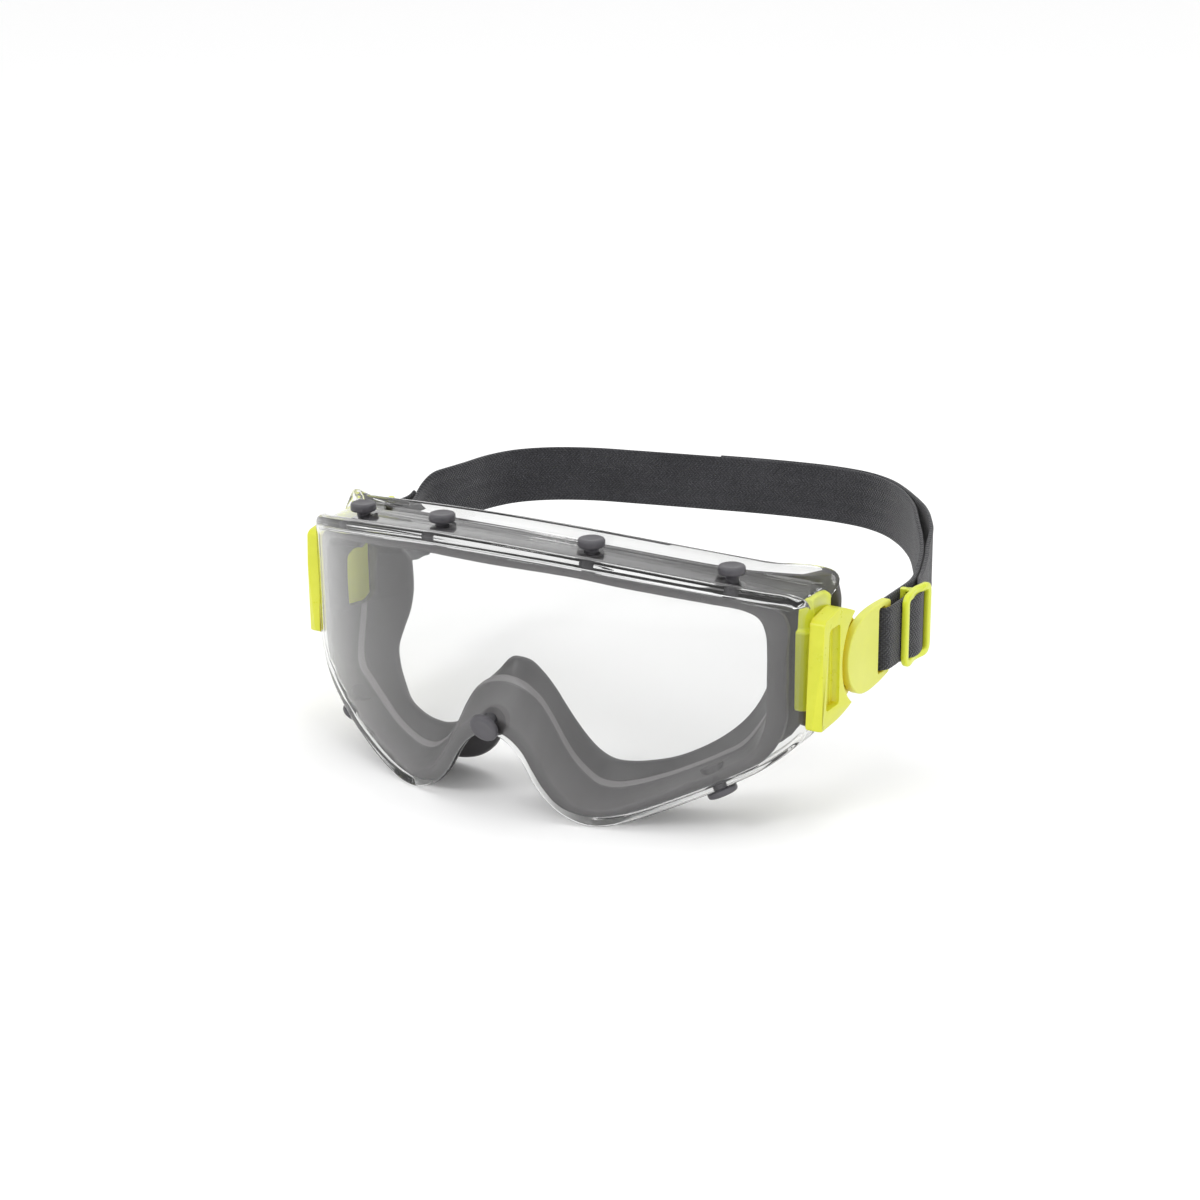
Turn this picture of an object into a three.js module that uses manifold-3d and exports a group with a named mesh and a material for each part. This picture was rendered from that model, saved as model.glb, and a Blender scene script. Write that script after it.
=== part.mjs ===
// Indirect-vent safety goggles: one-piece clear visor on a soft grey face frame,
// held by peg plugs, with side buckle housings, swivelling strap clips,
// tri-bar sliders and one elastic head strap.
// Millimetres, +Z up, +X to the side, +Y from the visor towards the head.
// Design coordinates put the visor's crown (front of the lens on the mid-plane) at
// the origin; the outer group then moves the whole object so that the origin is the
// point between the eyes where the seal meets the face.
import * as THREE from 'three';
import { mergeVertices } from 'three/addons/utils/BufferGeometryUtils.js';
import Module from 'manifold-3d';

const wasm = await Module();
wasm.setup();

// ---------------------------------------------------------------- dimensions
const FACE_DEPTH = 20;          // crown of the visor to the face-contact point
const LENS_R = 129.1;           // outer radius of the cylindrical visor
const LENS_T = 2.2;             // visor thickness
const LENS_HALF_W = 88;         // half width of the visor
const TOP_Z = 37.6;             // height of the top front edge on the mid-plane
const TOP_DROP = 14;            // how far the top edge falls at the sides
const LEDGE_DEPTH = 22;         // top ledge, front to rear
const LEDGE_SINK = 1.8;         // ledge surface below the front ridge
const LEDGE_T = 1.8;            // ledge thickness
const LIP_RISE = 1.2;           // rear lip above the front ridge line
const SIDE_Y1 = 48;             // rear edge of the visor's side walls
const FLANGE_DEPTH = 12;        // bottom flange, front to rear
const FLANGE_T = 1.7;
const GAP = 0.4;                // clearance between touching pieces
const HEAD_R = 4.7;             // peg plug head radius
const HEAD_T = 2.3;             // peg plug head thickness
const TOP_HEAD_R = 4.1, TOP_HEAD_T = 2.8;   // the same for the plugs in the top ledge
const NECK_R = 2.1;             // peg plug neck radius
const HOLE_R = 2.45;            // hole for a plug neck
const TOP_PLUGS = [[-65.8, 31.1], [-26.4, 17.6], [26.4, 17.6], [65.8, 31.1]];
const PIVOT = [66.4, -0.5];     // strap clip pivot (y, z)
const PIN_R = 2.2;
const CLIP_X0 = 91.2, CLIP_X1 = 94.0;
const HOUS_X0 = 88.4, HOUS_X1 = 93.2, HOUS_XT = 90.8;
const STRAP_W = 20;             // webbing width
const STRAP_T = 1.4;            // webbing thickness
const STRAP_OUT_X = 95.2;       // outer strap run at the sides
const STRAP_IN_X = 90.3;        // inner strap run at the sides
const STRAP_Z0 = -0.5;          // strap centre height at the sides
const STRAP_Z1 = 5;             // strap centre height at the back
const SLIDER_Y = 93.4;          // slider middle (left one before the splay)
const SLIDER_L = 18.6;          // slider length along the strap
const SPLAY = 18;               // outward turn of the left strap end, degrees
const SPLAY_AT = [-90.3, 82];   // point (x, y) that it turns about
const BAR = 2.2;                // slider bar width

// ---------------------------------------------------------------- helpers
const V2 = (x, y) => new THREE.Vector2(x, y);
const V3 = (x, y, z) => new THREE.Vector3(x, y, z);

function toSolid(geometry) {
  const g = geometry.index ? geometry.toNonIndexed() : geometry.clone();
  g.deleteAttribute('normal');
  g.deleteAttribute('uv');
  const m = mergeVertices(g, 1e-4);
  return new wasm.Manifold(new wasm.Mesh({
    numProp: 3,
    vertProperties: new Float32Array(m.attributes.position.array),
    triVerts: new Uint32Array(m.index.array),
  }));
}

function toGeometry(solid) {
  const m = solid.getMesh();
  const g = new THREE.BufferGeometry();
  const p = new Float32Array(m.numVert * 3);
  for (let i = 0; i < m.numVert; i++) {
    for (let k = 0; k < 3; k++) p[3 * i + k] = m.vertProperties[i * m.numProp + k];
  }
  g.setAttribute('position', new THREE.BufferAttribute(p, 3));
  g.setIndex(Array.from(m.triVerts));
  const flat = g.toNonIndexed();
  flat.computeVertexNormals();
  return flat;
}

const shapeOf = (pts) => new THREE.Shape(pts.map((p) => V2(p[0], p[1])));

// prism of an outline in (x, z), between y0 and y1
function prismY(pts, y0, y1) {
  const g = new THREE.ExtrudeGeometry(shapeOf(pts), { depth: y1 - y0, bevelEnabled: false, steps: 1 });
  g.rotateX(Math.PI / 2);
  g.translate(0, y1, 0);
  return toSolid(g);
}
// prism of an outline in (y, z), between x0 and x1
function prismX(pts, x0, x1) {
  const g = new THREE.ExtrudeGeometry(shapeOf(pts), { depth: x1 - x0, bevelEnabled: false, steps: 1 });
  g.applyMatrix4(new THREE.Matrix4().makeBasis(V3(0, 1, 0), V3(0, 0, 1), V3(1, 0, 0)));
  g.translate(x0, 0, 0);
  return toSolid(g);
}
// prism of an outline in (x, y), between z0 and z1
function prismZ(pts, z0, z1) {
  const g = new THREE.ExtrudeGeometry(shapeOf(pts), { depth: z1 - z0, bevelEnabled: false, steps: 1 });
  g.translate(0, 0, z0);
  return toSolid(g);
}
function box(x0, x1, y0, y1, z0, z1) {
  const g = new THREE.BoxGeometry(x1 - x0, y1 - y0, z1 - z0);
  g.translate((x0 + x1) / 2, (y0 + y1) / 2, (z0 + z1) / 2);
  return toSolid(g);
}
// cylinder along a direction, from point a, length l
function rod(a, dir, r, l, seg = 20) {
  const g = new THREE.CylinderGeometry(r, r, l, seg);
  g.translate(0, l / 2, 0);
  g.applyQuaternion(new THREE.Quaternion().setFromUnitVectors(V3(0, 1, 0), dir.clone().normalize()));
  g.translate(a.x, a.y, a.z);
  return toSolid(g);
}
// the visor's vertical-axis cylinder, moved back by dy
function visorCyl(r, dy = 0) {
  const g = new THREE.CylinderGeometry(r, r, 140, 120);
  g.rotateX(Math.PI / 2);
  g.translate(0, LENS_R + dy, 0);
  return toSolid(g);
}
const topZ = (x) => TOP_Z - TOP_DROP * (x / LENS_HALF_W) ** 2;
const lensY = (x, r = LENS_R) => LENS_R - Math.sqrt(r * r - x * x);

const mirrorPts = (half) => half.concat(half.slice(1, -1).reverse().map((p) => [-p[0], p[1]]));

// inward offset of a closed outline
function inset(pts, d) {
  let area = 0;
  const n = pts.length;
  for (let i = 0; i < n; i++) {
    const a = pts[i], b = pts[(i + 1) % n];
    area += a[0] * b[1] - b[0] * a[1];
  }
  const s = area > 0 ? 1 : -1;
  return pts.map((p, i) => {
    const a = pts[(i + n - 1) % n], b = pts[(i + 1) % n];
    const e1 = V2(p[0] - a[0], p[1] - a[1]).normalize();
    const e2 = V2(b[0] - p[0], b[1] - p[1]).normalize();
    const n1 = V2(-e1.y * s, e1.x * s), n2 = V2(-e2.y * s, e2.x * s);
    const m = n1.clone().add(n2).normalize();
    const k = d / Math.max(0.5, m.dot(n1));
    return [p[0] + m.x * k, p[1] + m.y * k];
  });
}

function meshOf(name, solid, colour, roughness, metalness = 0, extra = {}) {
  const geometry = solid.isBufferGeometry ? solid : toGeometry(solid);
  const m = new THREE.Mesh(geometry, new THREE.MeshStandardMaterial({ color: colour, roughness, metalness, ...extra }));
  m.name = name;
  return m;
}

const CLEAR = 0xdde2e2, GREY = 0x666466, PLUG = 0x4a484d, LIME = 0xdee43c, LIME_PALE = 0xe0e66e, WEB = 0x3e3e42, STEEL = 0xd8dc50;
const goggles = new THREE.Group();
goggles.name = 'safety_goggles';

// ---------------------------------------------------------------- visor
const lowerHalf = [
  [88, -17.5], [86.8, -21], [84.7, -23.6], [78.4, -28.9], [72, -32.6], [65.5, -36], [56.3, -40.3], [47, -44.5],
  [41.3, -46.6], [36.7, -47.9], [31.4, -48.2], [26, -46.8], [20.5, -43.6], [15.3, -38], [10.5, -30], [6.5, -25.6], [3, -23.8], [0, -23.5],
];
const topHalf = [];
for (const x of [0, 12, 24, 36, 48, 60, 70, 78, 83.5]) topHalf.push([x, topZ(x)]);
topHalf.push([86.3, 23.4], [87.6, 21.8], [88, 19.5]);
const outlineHalf = topHalf.concat(lowerHalf);
const outline = mirrorPts(outlineHalf);
const outlineIn = inset(outline, FLANGE_T);

const cylOut = visorCyl(LENS_R);
const cylIn = visorCyl(LENS_R - LENS_T);

let visor = prismY(outline, -5, 60).intersect(cylOut).subtract(cylIn);
// top ledge: a sunk plate between the front ridge and a raised rear lip
const bandTop = (lo, hi, xm) => {
  const xs = [-xm, -74, -60, -48, -36, -24, -12, 0, 12, 24, 36, 48, 60, 74, xm];
  return xs.map((x) => [x, topZ(x) + hi]).concat(xs.slice().reverse().map((x) => [x, topZ(x) + lo]));
};
const ledge = prismY(bandTop(-LEDGE_SINK - LEDGE_T, -LEDGE_SINK, 87), -5, 70)
  .intersect(cylOut).subtract(visorCyl(LENS_R, LEDGE_DEPTH));
const lip = prismY(bandTop(-LEDGE_SINK - LEDGE_T, LIP_RISE, 87), -5, 70)
  .intersect(visorCyl(LENS_R, LEDGE_DEPTH - 1.6)).subtract(visorCyl(LENS_R, LEDGE_DEPTH));
const sideWall = (s) => {
  const x0 = s > 0 ? LENS_HALF_W - 1.8 : -LENS_HALF_W;
  return prismX([[34, -18.5], [SIDE_Y1 - 3, -18.5], [SIDE_Y1, -15.5], [SIDE_Y1 + 4, 22.6], [34, 22.6]], x0, x0 + 1.8).intersect(cylOut);
};
// bottom flange on each side of the nose
const flangeBand = (s) => {
  const a = lowerHalf.slice(1, 11).map((p) => [s * p[0], p[1]]);
  const start = topHalf.length + 1;
  const b = outlineIn.slice(start, start + 10).map((p) => [s * p[0], p[1]]);
  return a.concat(b.reverse());
};
visor = visor.add(ledge).add(lip);
for (const s of [1, -1]) {
  visor = visor.add(sideWall(s));
  visor = visor.add(prismY(flangeBand(s), -5, 60).intersect(cylOut).subtract(visorCyl(LENS_R, FLANGE_DEPTH)));
  // slot in the side wall for the anchor tongue
  visor = visor.subtract(box(s > 0 ? 84 : -90, s > 0 ? 90 : -84, 39.8, 45.2, -8.4, 8.4));
}
for (const [x, y] of TOP_PLUGS) visor = visor.subtract(rod(V3(x, y, topZ(x) - 8), V3(0, 0, 1), HOLE_R, 12));
// nose plug and bottom plug axes (pointing out of the visor)
const NOSE = { p: V3(0, 0, -19.4), n: V3(0, -0.94, -0.342).normalize() };
const BOT = (s) => ({ p: V3(s * 66.2, 24.2, -35.66), n: V3(s * 0.44, 0, -0.898).normalize() });
visor = visor.add(rod(NOSE.p.clone().addScaledVector(NOSE.n, -0.6), NOSE.n, 5.3, 1.9, 28));
visor = visor.subtract(rod(NOSE.p.clone().addScaledVector(NOSE.n, -6), NOSE.n, HOLE_R, 12));
const NOSE_PAD = 1.3;           // raised pad that the nose plug sits on
for (const s of [1, -1]) visor = visor.subtract(rod(BOT(s).p.clone().addScaledVector(BOT(s).n, -6), BOT(s).n, HOLE_R, 12));
goggles.add(meshOf('visor_lens', visor, CLEAR, 0.05, 0, { transparent: true, opacity: 0.35 }));

// ---------------------------------------------------------------- face frame
// stations from the top centre round the right side to the nose:
// P0 outer front edge (x,z), P1 inner edge of the contact band (x,z),
// K crease (x,y,z), E rear opening edge (x,y,z), R outer edge of the face seal (x,y,z)
const ST = [
  [[0, 33.2], [0, 30], [0, 13, 30.2], [0, 24.5, 28.4], [0, 23.8, 32.2]],
  [[14, 32.9], [14, 29.9], [14, 13.8, 30], [14, 25, 28.2], [14, 24.6, 31.9]],
  [[28, 31.8], [28, 29.2], [27.5, 16, 29.2], [27, 27, 27.2], [28, 27, 31]],
  [[42, 29.8], [41, 27.2], [40, 20, 27.3], [39, 31, 25], [42, 31.3, 29.2]],
  [[55, 27.6], [54, 25], [52, 25, 25], [50, 36, 22.4], [55, 37, 27]],
  [[66, 25], [64.5, 22.8], [61.5, 31, 22.6], [58, 42, 19.2], [66, 43.4, 25.2]],
  [[75, 22.6], [72.5, 20.6], [69, 37, 19.4], [63.3, 48.5, 15.2], [77, 50.4, 24.4]],
  [[80.4, 20], [76, 18], [73.3, 41, 15.5], [65.8, 53.5, 10.8], [85.6, 56.4, 23.8]],
  [[82.6, 15.5], [77.6, 13.5], [75.2, 43, 10.5], [66.9, 56.3, 6], [87.6, 57.4, 18.6]],
  [[82.6, 8], [78, 7], [75.8, 43.5, 5], [67.1, 57, 1.5], [87.7, 57.5, 11]],
  [[82.6, 0], [78, -0.5], [75.8, 43.5, -1], [67.1, 57.2, -2], [87.7, 57.5, 1]],
  [[82.6, -7.5], [78, -7], [75.5, 42.8, -6.5], [66.9, 56.6, -6.5], [87.7, 57.3, -7]],
  [[82.6, -13.8], [78, -12.6], [74.8, 41, -12.2], [66.4, 54, -11.6], [86.6, 56.4, -14]],
  [[81.2, -20.2], [77.2, -18], [72.6, 36.8, -18.6], [65.8, 49.5, -16.2], [82.5, 53.5, -21]],
  [[76.9, -27.3], [74.6, -24.6], [69, 32.6, -23.9], [64, 43.6, -20.6], [75.5, 48.5, -27.4]],
  [[69.4, -31.6], [67.8, -28.6], [62.5, 29.3, -28], [60, 38.6, -24.8], [68, 43, -32.8]],
  [[59.8, -36.2], [58.4, -33.4], [55, 25.3, -31.7], [54.5, 33.4, -28.4], [60.5, 37.8, -37.2]],
  [[50.8, -40.4], [49.4, -37.8], [47.5, 21.3, -34.8], [48.5, 28, -30.8], [53, 33, -41]],
  [[43.2, -43.6], [42.2, -41], [40.5, 18.7, -37.2], [42.2, 24.4, -32.1], [45.5, 29.5, -44.2]],
  [[37.4, -45.7], [36.8, -43.2], [34.7, 16.8, -38.4], [36.3, 22.2, -32.8], [38, 27.5, -46.2]],
  [[31.8, -45.8], [32.3, -43.4], [29.6, 15.7, -37.9], [30.2, 21.6, -32.9], [30, 26.5, -46.4]],
  [[26.8, -45.3], [28.4, -42.9], [25.2, 14.9, -34.8], [25.2, 21.8, -31.2], [22, 26, -44.4]],
  [[21.9, -43.5], [24.4, -41], [21.3, 14.1, -30.5], [21, 21.8, -27.9], [16, 25.5, -40.2]],
  [[17.3, -39.2], [20.6, -37], [18.1, 13.4, -25.2], [17.2, 21.2, -23.1], [12, 24.5, -34.4]],
  [[13.4, -33.4], [17, -31.4], [15, 12.9, -19.4], [13.9, 20.5, -18.1], [9.4, 23.5, -28.4]],
  [[10, -27.9], [13.4, -25.4], [11.2, 12.5, -14], [10.6, 20, -13.1], [7.4, 22.5, -22.6]],
  [[6, -24.4], [8.6, -20.8], [6.9, 12.3, -10.8], [6.7, 19.5, -8.5], [5, 21.2, -17.6]],
  [[2.9, -23.1], [3.8, -18.8], [3.2, 12.4, -9.6], [3.2, 18.2, -4.9], [2.4, 20.2, -14.8]],
  [[0, -22.8], [0, -18.4], [0, 12.5, -9.3], [0, 17.2, -4], [0, 19.8, -14]],
];
const loopOf = (pick) => {
  const right = ST.map(pick);
  const left = right.slice(1, -1).reverse().map((p) => V3(-p.x, p.y, p.z));
  return new THREE.CatmullRomCurve3(right.concat(left), true, 'centripetal');
};
const cP0 = loopOf((s) => V3(s[0][0], 0, s[0][1]));
const cP1 = loopOf((s) => V3(s[1][0], 0, s[1][1]));
const cK = loopOf((s) => V3(...s[2]));
const cE = loopOf((s) => V3(...s[3]));
const cR = loopOf((s) => V3(...s[4]));
const FRAME_R = LENS_R - LENS_T - GAP;       // the frame's front face follows the visor
const WALL = 2.3, SEAL = 2.6;
function frameRing(t) {
  const p0 = cP0.getPoint(t), p1 = cP1.getPoint(t), k = cK.getPoint(t), e = cE.getPoint(t), r = cR.getPoint(t);
  const out = V3(p0.x - p1.x, 0, p0.z - p1.z).normalize();
  p0.y = lensY(p0.x, FRAME_R);
  p1.y = lensY(p1.x, FRAME_R);
  const by = (p, o, y) => p.clone().addScaledVector(out, o).add(V3(0, y, 0));
  const back = V3(r.x - e.x, 0, r.z - e.z).normalize();
  const lb = Math.hypot(r.x - e.x, r.z - e.z), wb = Math.min(3.2, 0.66 * lb);
  const wr = e.clone().addScaledVector(back, wb).add(V3(0, 0.5 + wb * (r.y - e.y) / lb, 0));
  return [
    p0, p1, k, e,
    by(e, 0, SEAL), by(r, 0, SEAL), r,
    wr, by(k, WALL, 0.8), by(p1, Math.min(WALL, 0.75 * Math.hypot(p0.x - p1.x, p0.z - p1.z)), 2.2), by(p0, 0, 2.0),
  ];
}
function loft(rings) {
  const n = rings.length, m = rings[0].length, pos = [], idx = [];
  for (const ring of rings) for (const p of ring) pos.push(p.x, p.y, p.z);
  for (let i = 0; i < n; i++) {
    const a = i * m, b = ((i + 1) % n) * m;
    for (let j = 0; j < m; j++) {
      const j2 = (j + 1) % m;
      idx.push(a + j, b + j, b + j2, a + j, b + j2, a + j2);
    }
  }
  const g = new THREE.BufferGeometry();
  g.setAttribute('position', new THREE.Float32BufferAttribute(pos, 3));
  g.setIndex(idx);
  return orient(g);
}
function orient(g) {
  const p = g.attributes.position, id = g.index.array;
  let v = 0;
  const a = V3(), b = V3(), c = V3();
  for (let i = 0; i < id.length; i += 3) {
    a.fromBufferAttribute(p, id[i]); b.fromBufferAttribute(p, id[i + 1]); c.fromBufferAttribute(p, id[i + 2]);
    v += a.dot(b.cross(c));
  }
  if (v < 0) {
    const f = Array.from(id);
    for (let i = 0; i < f.length; i += 3) [f[i + 1], f[i + 2]] = [f[i + 2], f[i + 1]];
    g.setIndex(f);
  }
  return g;
}
const FRAME_N = (ST.length - 1) * 2 * 2;
const frameRings = [];
for (let i = 0; i < FRAME_N; i++) frameRings.push(frameRing(i / FRAME_N));
let frame = toSolid(loft(frameRings));
// bosses that take the peg plugs
const plugHoles = [];
for (const [x, y] of TOP_PLUGS) {
  const zu = topZ(x) - LEDGE_SINK - LEDGE_T - GAP - 4.1 * 2 * TOP_DROP * Math.abs(x) / LENS_HALF_W ** 2;
  const low = Math.abs(x) > 40 ? 4 : 3.4;
  const foot = V3(x, y, zu - low);
  frame = frame.add(rod(foot, V3(0, 0, 1), 4.1, low, 18));
  plugHoles.push(rod(V3(x, y, zu - 2.2), V3(0, 0, 1), HOLE_R, 6));
}
for (const s of [1, -1]) {
  const b = BOT(s);
  const top = b.p.clone().addScaledVector(b.n, -FLANGE_T - GAP - 0.75);
  frame = frame.add(rod(top.clone().addScaledVector(b.n, -4.6), b.n, 3.6, 4.6, 18));
  plugHoles.push(rod(top.clone().addScaledVector(b.n, -2.2), b.n, HOLE_R, 6));
}
{
  const top = NOSE.p.clone().addScaledVector(NOSE.n, -LENS_T - GAP - 0.25);
  plugHoles.push(rod(top.clone().addScaledVector(NOSE.n, -2.0), NOSE.n, HOLE_R, 6));
}
for (const h of plugHoles) frame = frame.subtract(h);
// window in each side wall, in front of the side anchor
for (const s of [1, -1]) {
  const w = [[37, -5.6], [38, -6.6], [44.8, -6.6], [47.6, -3.8], [47.6, 13.4], [46.4, 14.6], [40.4, 14.6], [37, 11]];
  frame = frame.subtract(prismX(w, ...(s > 0 ? [72, 81.6] : [-81.6, -72])));
}
goggles.add(meshOf('face_frame', frame, GREY, 0.6));

// ---------------------------------------------------------------- peg plugs
function plug(base, dir, neck, hr = HEAD_R, ht = HEAD_T) {
  // base: point on the visor's outer surface; dir: outward
  const d = dir.clone().normalize();
  const profile = [
    V2(0, -neck), V2(NECK_R - 0.3, -neck), V2(NECK_R, -neck + 0.4), V2(NECK_R, 0.3),
    V2(hr - 0.3, 0.3), V2(hr, 0.7), V2(hr, ht - 0.5), V2(hr - 0.5, ht), V2(0, ht + 0.15),
  ];
  const g = new THREE.LatheGeometry(profile, 22);
  g.applyQuaternion(new THREE.Quaternion().setFromUnitVectors(V3(0, 1, 0), d));
  g.translate(base.x, base.y, base.z);
  return toSolid(g);
}
const plugNames = ['plug_top_outer_left', 'plug_top_inner_left', 'plug_top_inner_right', 'plug_top_outer_right'];
TOP_PLUGS.forEach(([x, y], i) => {
  const slope = 2 * TOP_DROP * x / LENS_HALF_W ** 2;
  const lift = Math.abs(slope) * TOP_HEAD_R;
  goggles.add(meshOf(plugNames[i], plug(V3(x, y, topZ(x) - LEDGE_SINK + lift), V3(0, 0, 1), LEDGE_T + GAP + lift + 1.7, TOP_HEAD_R, TOP_HEAD_T), PLUG, 0.55));
});
goggles.add(meshOf('plug_nose', plug(NOSE.p.clone().addScaledVector(NOSE.n, NOSE_PAD), NOSE.n, NOSE_PAD + LENS_T + 2.2), PLUG, 0.55));
goggles.add(meshOf('plug_bottom_left', plug(BOT(-1).p, BOT(-1).n, FLANGE_T + 2.0), PLUG, 0.55));
goggles.add(meshOf('plug_bottom_right', plug(BOT(1).p, BOT(1).n, FLANGE_T + 2.0), PLUG, 0.55));

// ---------------------------------------------------------------- side pieces
// strap clip outline: a leaf that runs into a straight bar, and the round scoop that clears it
const CLIP_PROF = [
  [81.4, 10.4], [79.6, 11.2], [74, 11.5], [68, 11.5], [63, 10.9], [59, 9.7], [56, 8], [53.8, 5.7], [52.5, 3], [52, 0.2], [52.2, -2.9],
  [53.2, -6.1], [55, -9], [57.6, -11.5], [60.8, -13.2], [64.6, -14], [69, -14.1], [75, -13.6], [79.6, -12.9], [81.4, -11.8],
];
const SCOOP_R = 17.0;
const X = (s, x0, x1) => (s > 0 ? [x0, x1] : [-x1, -x0]);
for (const s of [1, -1]) {
  const tag = s > 0 ? 'right' : 'left';
  // anchor inside the visor wall, with a tongue through the wall's slot
  let anchor = prismX([
    [39.4, -12], [40.6, -13.2], [54, -13.2], [55.4, -11.8], [55.4, 18], [54, 19.4], [51, 20.4], [44, 20.4], [42.6, 19.2], [42, 11.8], [40.4, 11.8], [39.4, 10.8],
  ], ...X(s, 82.4, 85.8));
  anchor = anchor.add(box(...X(s, 85, 90.3), 40.2, 44.8, -8, 8));
  goggles.add(meshOf(`side_anchor_${tag}`, anchor, LIME, 0.4));

  // buckle housing outside the wall: thick front block with a recess, thin tail under the clip
  const block = [[34.8, -15.4], [36, -16.8], [46.4, -16.6], [53, -15.6], [59, -13.8], [59, 13.4], [56, 15], [49.6, 17.6], [46.5, 18], [42, 17.6], [38, 16.8], [36.8, 15.4]];
  const tail = [[48, -16], [53, -15.4], [59, -13.2], [63, -9.5], [66, -6.4], [68.5, -5.8], [71, -4.3], [72.3, -0.5], [71, 3.4], [68.5, 4.9], [66, 5.5], [63, 9], [59, 12.9], [55, 14.8], [48, 16.8]];
  let housing = prismX(block, ...X(s, HOUS_X0, HOUS_X1));
  // scoop round the clip disc
  housing = housing.subtract(rod(V3(s * HOUS_XT, PIVOT[0], PIVOT[1]), V3(s, 0, 0), SCOOP_R, 8, 56));
  housing = housing.add(prismX(tail, ...X(s, HOUS_X0, HOUS_XT)));
  housing = housing.subtract(prismX([[38.6, -10.6], [39.6, -11.6], [46.4, -11.6], [47.4, -10.6], [47.4, 12.2], [46.4, 13.2], [41.4, 13.2], [40.4, 12.2]], ...X(s, 91.2, 96)));
  housing = housing.subtract(box(...X(s, 86, 90.7), 39.8, 45.2, -8.4, 8.4));
  housing = housing.subtract(rod(V3(s * 80, PIVOT[0], PIVOT[1]), V3(s, 0, 0), PIN_R + 0.3, 20, 24));
  // outer front edge is chamfered
  const ch = new THREE.BoxGeometry(6, 6, 60);
  ch.rotateZ(Math.PI / 4);
  ch.translate(s * (HOUS_X1 + 2.7), 35.4 - 2.2, 0);
  housing = housing.subtract(toSolid(ch));
  goggles.add(meshOf(`buckle_housing_${tag}`, housing, LIME, 0.38));

  // snap pin: head on the face side, shank through housing and clip
  let pin = rod(V3(s * 86.4, PIVOT[0], PIVOT[1]), V3(s, 0, 0), 4.4, 1.7, 24);
  pin = pin.add(rod(V3(s * 87, PIVOT[0], PIVOT[1]), V3(s, 0, 0), PIN_R, 6.2, 24));
  goggles.add(meshOf(`pivot_pin_${tag}`, pin, STEEL, 0.4));

  // strap clip: disc running into a straight strap bar, with a blind bore for the pin
  let clip = prismX(CLIP_PROF, ...X(s, CLIP_X0, CLIP_X1));
  clip = clip.subtract(box(...X(s, 90, 96), 73.2, 77.4, -11, 9.9));
  clip = clip.subtract(rod(V3(s * 88, PIVOT[0], PIVOT[1]), V3(s, 0, 0), PIN_R + 0.3, 93.5 - 88, 24));
  goggles.add(meshOf(`strap_clip_${tag}`, clip, LIME_PALE, 0.5));

  // slider: two rails with a dipped middle, end bars outside the webbing, centre bar between its layers
  const zc = STRAP_Z0, hz = 10.3, tz = 1.5;
  const ym = SLIDER_Y, ya = ym - SLIDER_L / 2, yb = ym + SLIDER_L / 2;
  const rail = [
    [96.2, ya], [97.7, ya], [98.3, ya + 0.8], [98.3, ya + 2.6], [97.6, ym - 1.6], [97.6, ym + 1.6], [98.3, yb - 2.6], [98.3, yb - 0.8], [97.7, yb], [96.2, yb],
    [94.6, yb - 2.8], [93.2, ym + 1.6], [91.5, ym + 1.3], [91.5, ym - 1.3], [93.2, ym - 1.6], [94.6, ya + 2.8],
  ].map(([x, y]) => [s * x, y]);
  let slider = prismZ(rail, zc + hz, zc + hz + tz).add(prismZ(rail, zc - hz - tz, zc - hz));
  slider = slider.add(box(...X(s, 96.2, 98.3), ya, ya + BAR, zc - hz - 0.9, zc + hz + 0.9));
  slider = slider.add(box(...X(s, 96.2, 98.3), yb - BAR, yb, zc - hz - 0.9, zc + hz + 0.9));
  slider = slider.add(box(...X(s, 91.5, 94.0), ym - 1.3, ym + 1.3, zc - hz - 0.9, zc + hz + 0.9));
  if (s < 0) slider = slider.translate([-SPLAY_AT[0], -SPLAY_AT[1], 0]).rotate([0, 0, SPLAY]).translate([SPLAY_AT[0], SPLAY_AT[1], 0]);
  goggles.add(meshOf(`strap_slider_${tag}`, slider, LIME, 0.42));
}

// ---------------------------------------------------------------- head strap
// one webbing: right tail outside the main run, fold round the right clip bar,
// main run round the head, fold round the left clip bar, short left tail
// the left end stands a little further out than the right one
const splay = (x, y) => {
  const a = THREE.MathUtils.degToRad(SPLAY), dx = x - SPLAY_AT[0], dy = y - SPLAY_AT[1];
  return V3(SPLAY_AT[0] + dx * Math.cos(a) - dy * Math.sin(a), SPLAY_AT[1] + dx * Math.sin(a) + dy * Math.cos(a), 0);
};
const mainCtl = [
  [STRAP_IN_X, 101], [90.1, 104.5], [89.5, 108], [88.5, 112], [86.6, 118], [82.9, 129], [77.4, 140.6], [71.9, 150.3], [65.3, 162], [59.9, 169.8], [53.8, 177],
  [45, 184.5], [35, 189], [22, 190.3], [8, 189], [-8, 186.2], [-22, 183], [-35, 180], [-50, 176.4], [-66, 172.2], [-80, 165.4], [-89.5, 156.5],
  [-94.3, 146], [-96.4, 134], [-98.6, 123], [-99.8, 117],
].map(([x, y]) => V3(x, y, 0)).concat([splay(-STRAP_IN_X, 112), splay(-STRAP_IN_X, 106)]);
const mainCurve = new THREE.CatmullRomCurve3(mainCtl, false, 'centripetal');
const main = mainCurve.getPoints(84);
const planNormal = (pts, i) => {
  const a = pts[Math.max(0, i - 1)], b = pts[Math.min(pts.length - 1, i + 1)];
  return V3(b.y - a.y, -(b.x - a.x), 0).normalize();
};
const fold = (s) => [
  [90.15, 79.2], [90.1, 77.2], [91.0, 75.6], [92.6, 75], [94.2, 75.6], [95.1, 77.2], [STRAP_OUT_X, 79.2],
].map(([x, y]) => V3(s * x, y, 0));
const path = [];
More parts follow.
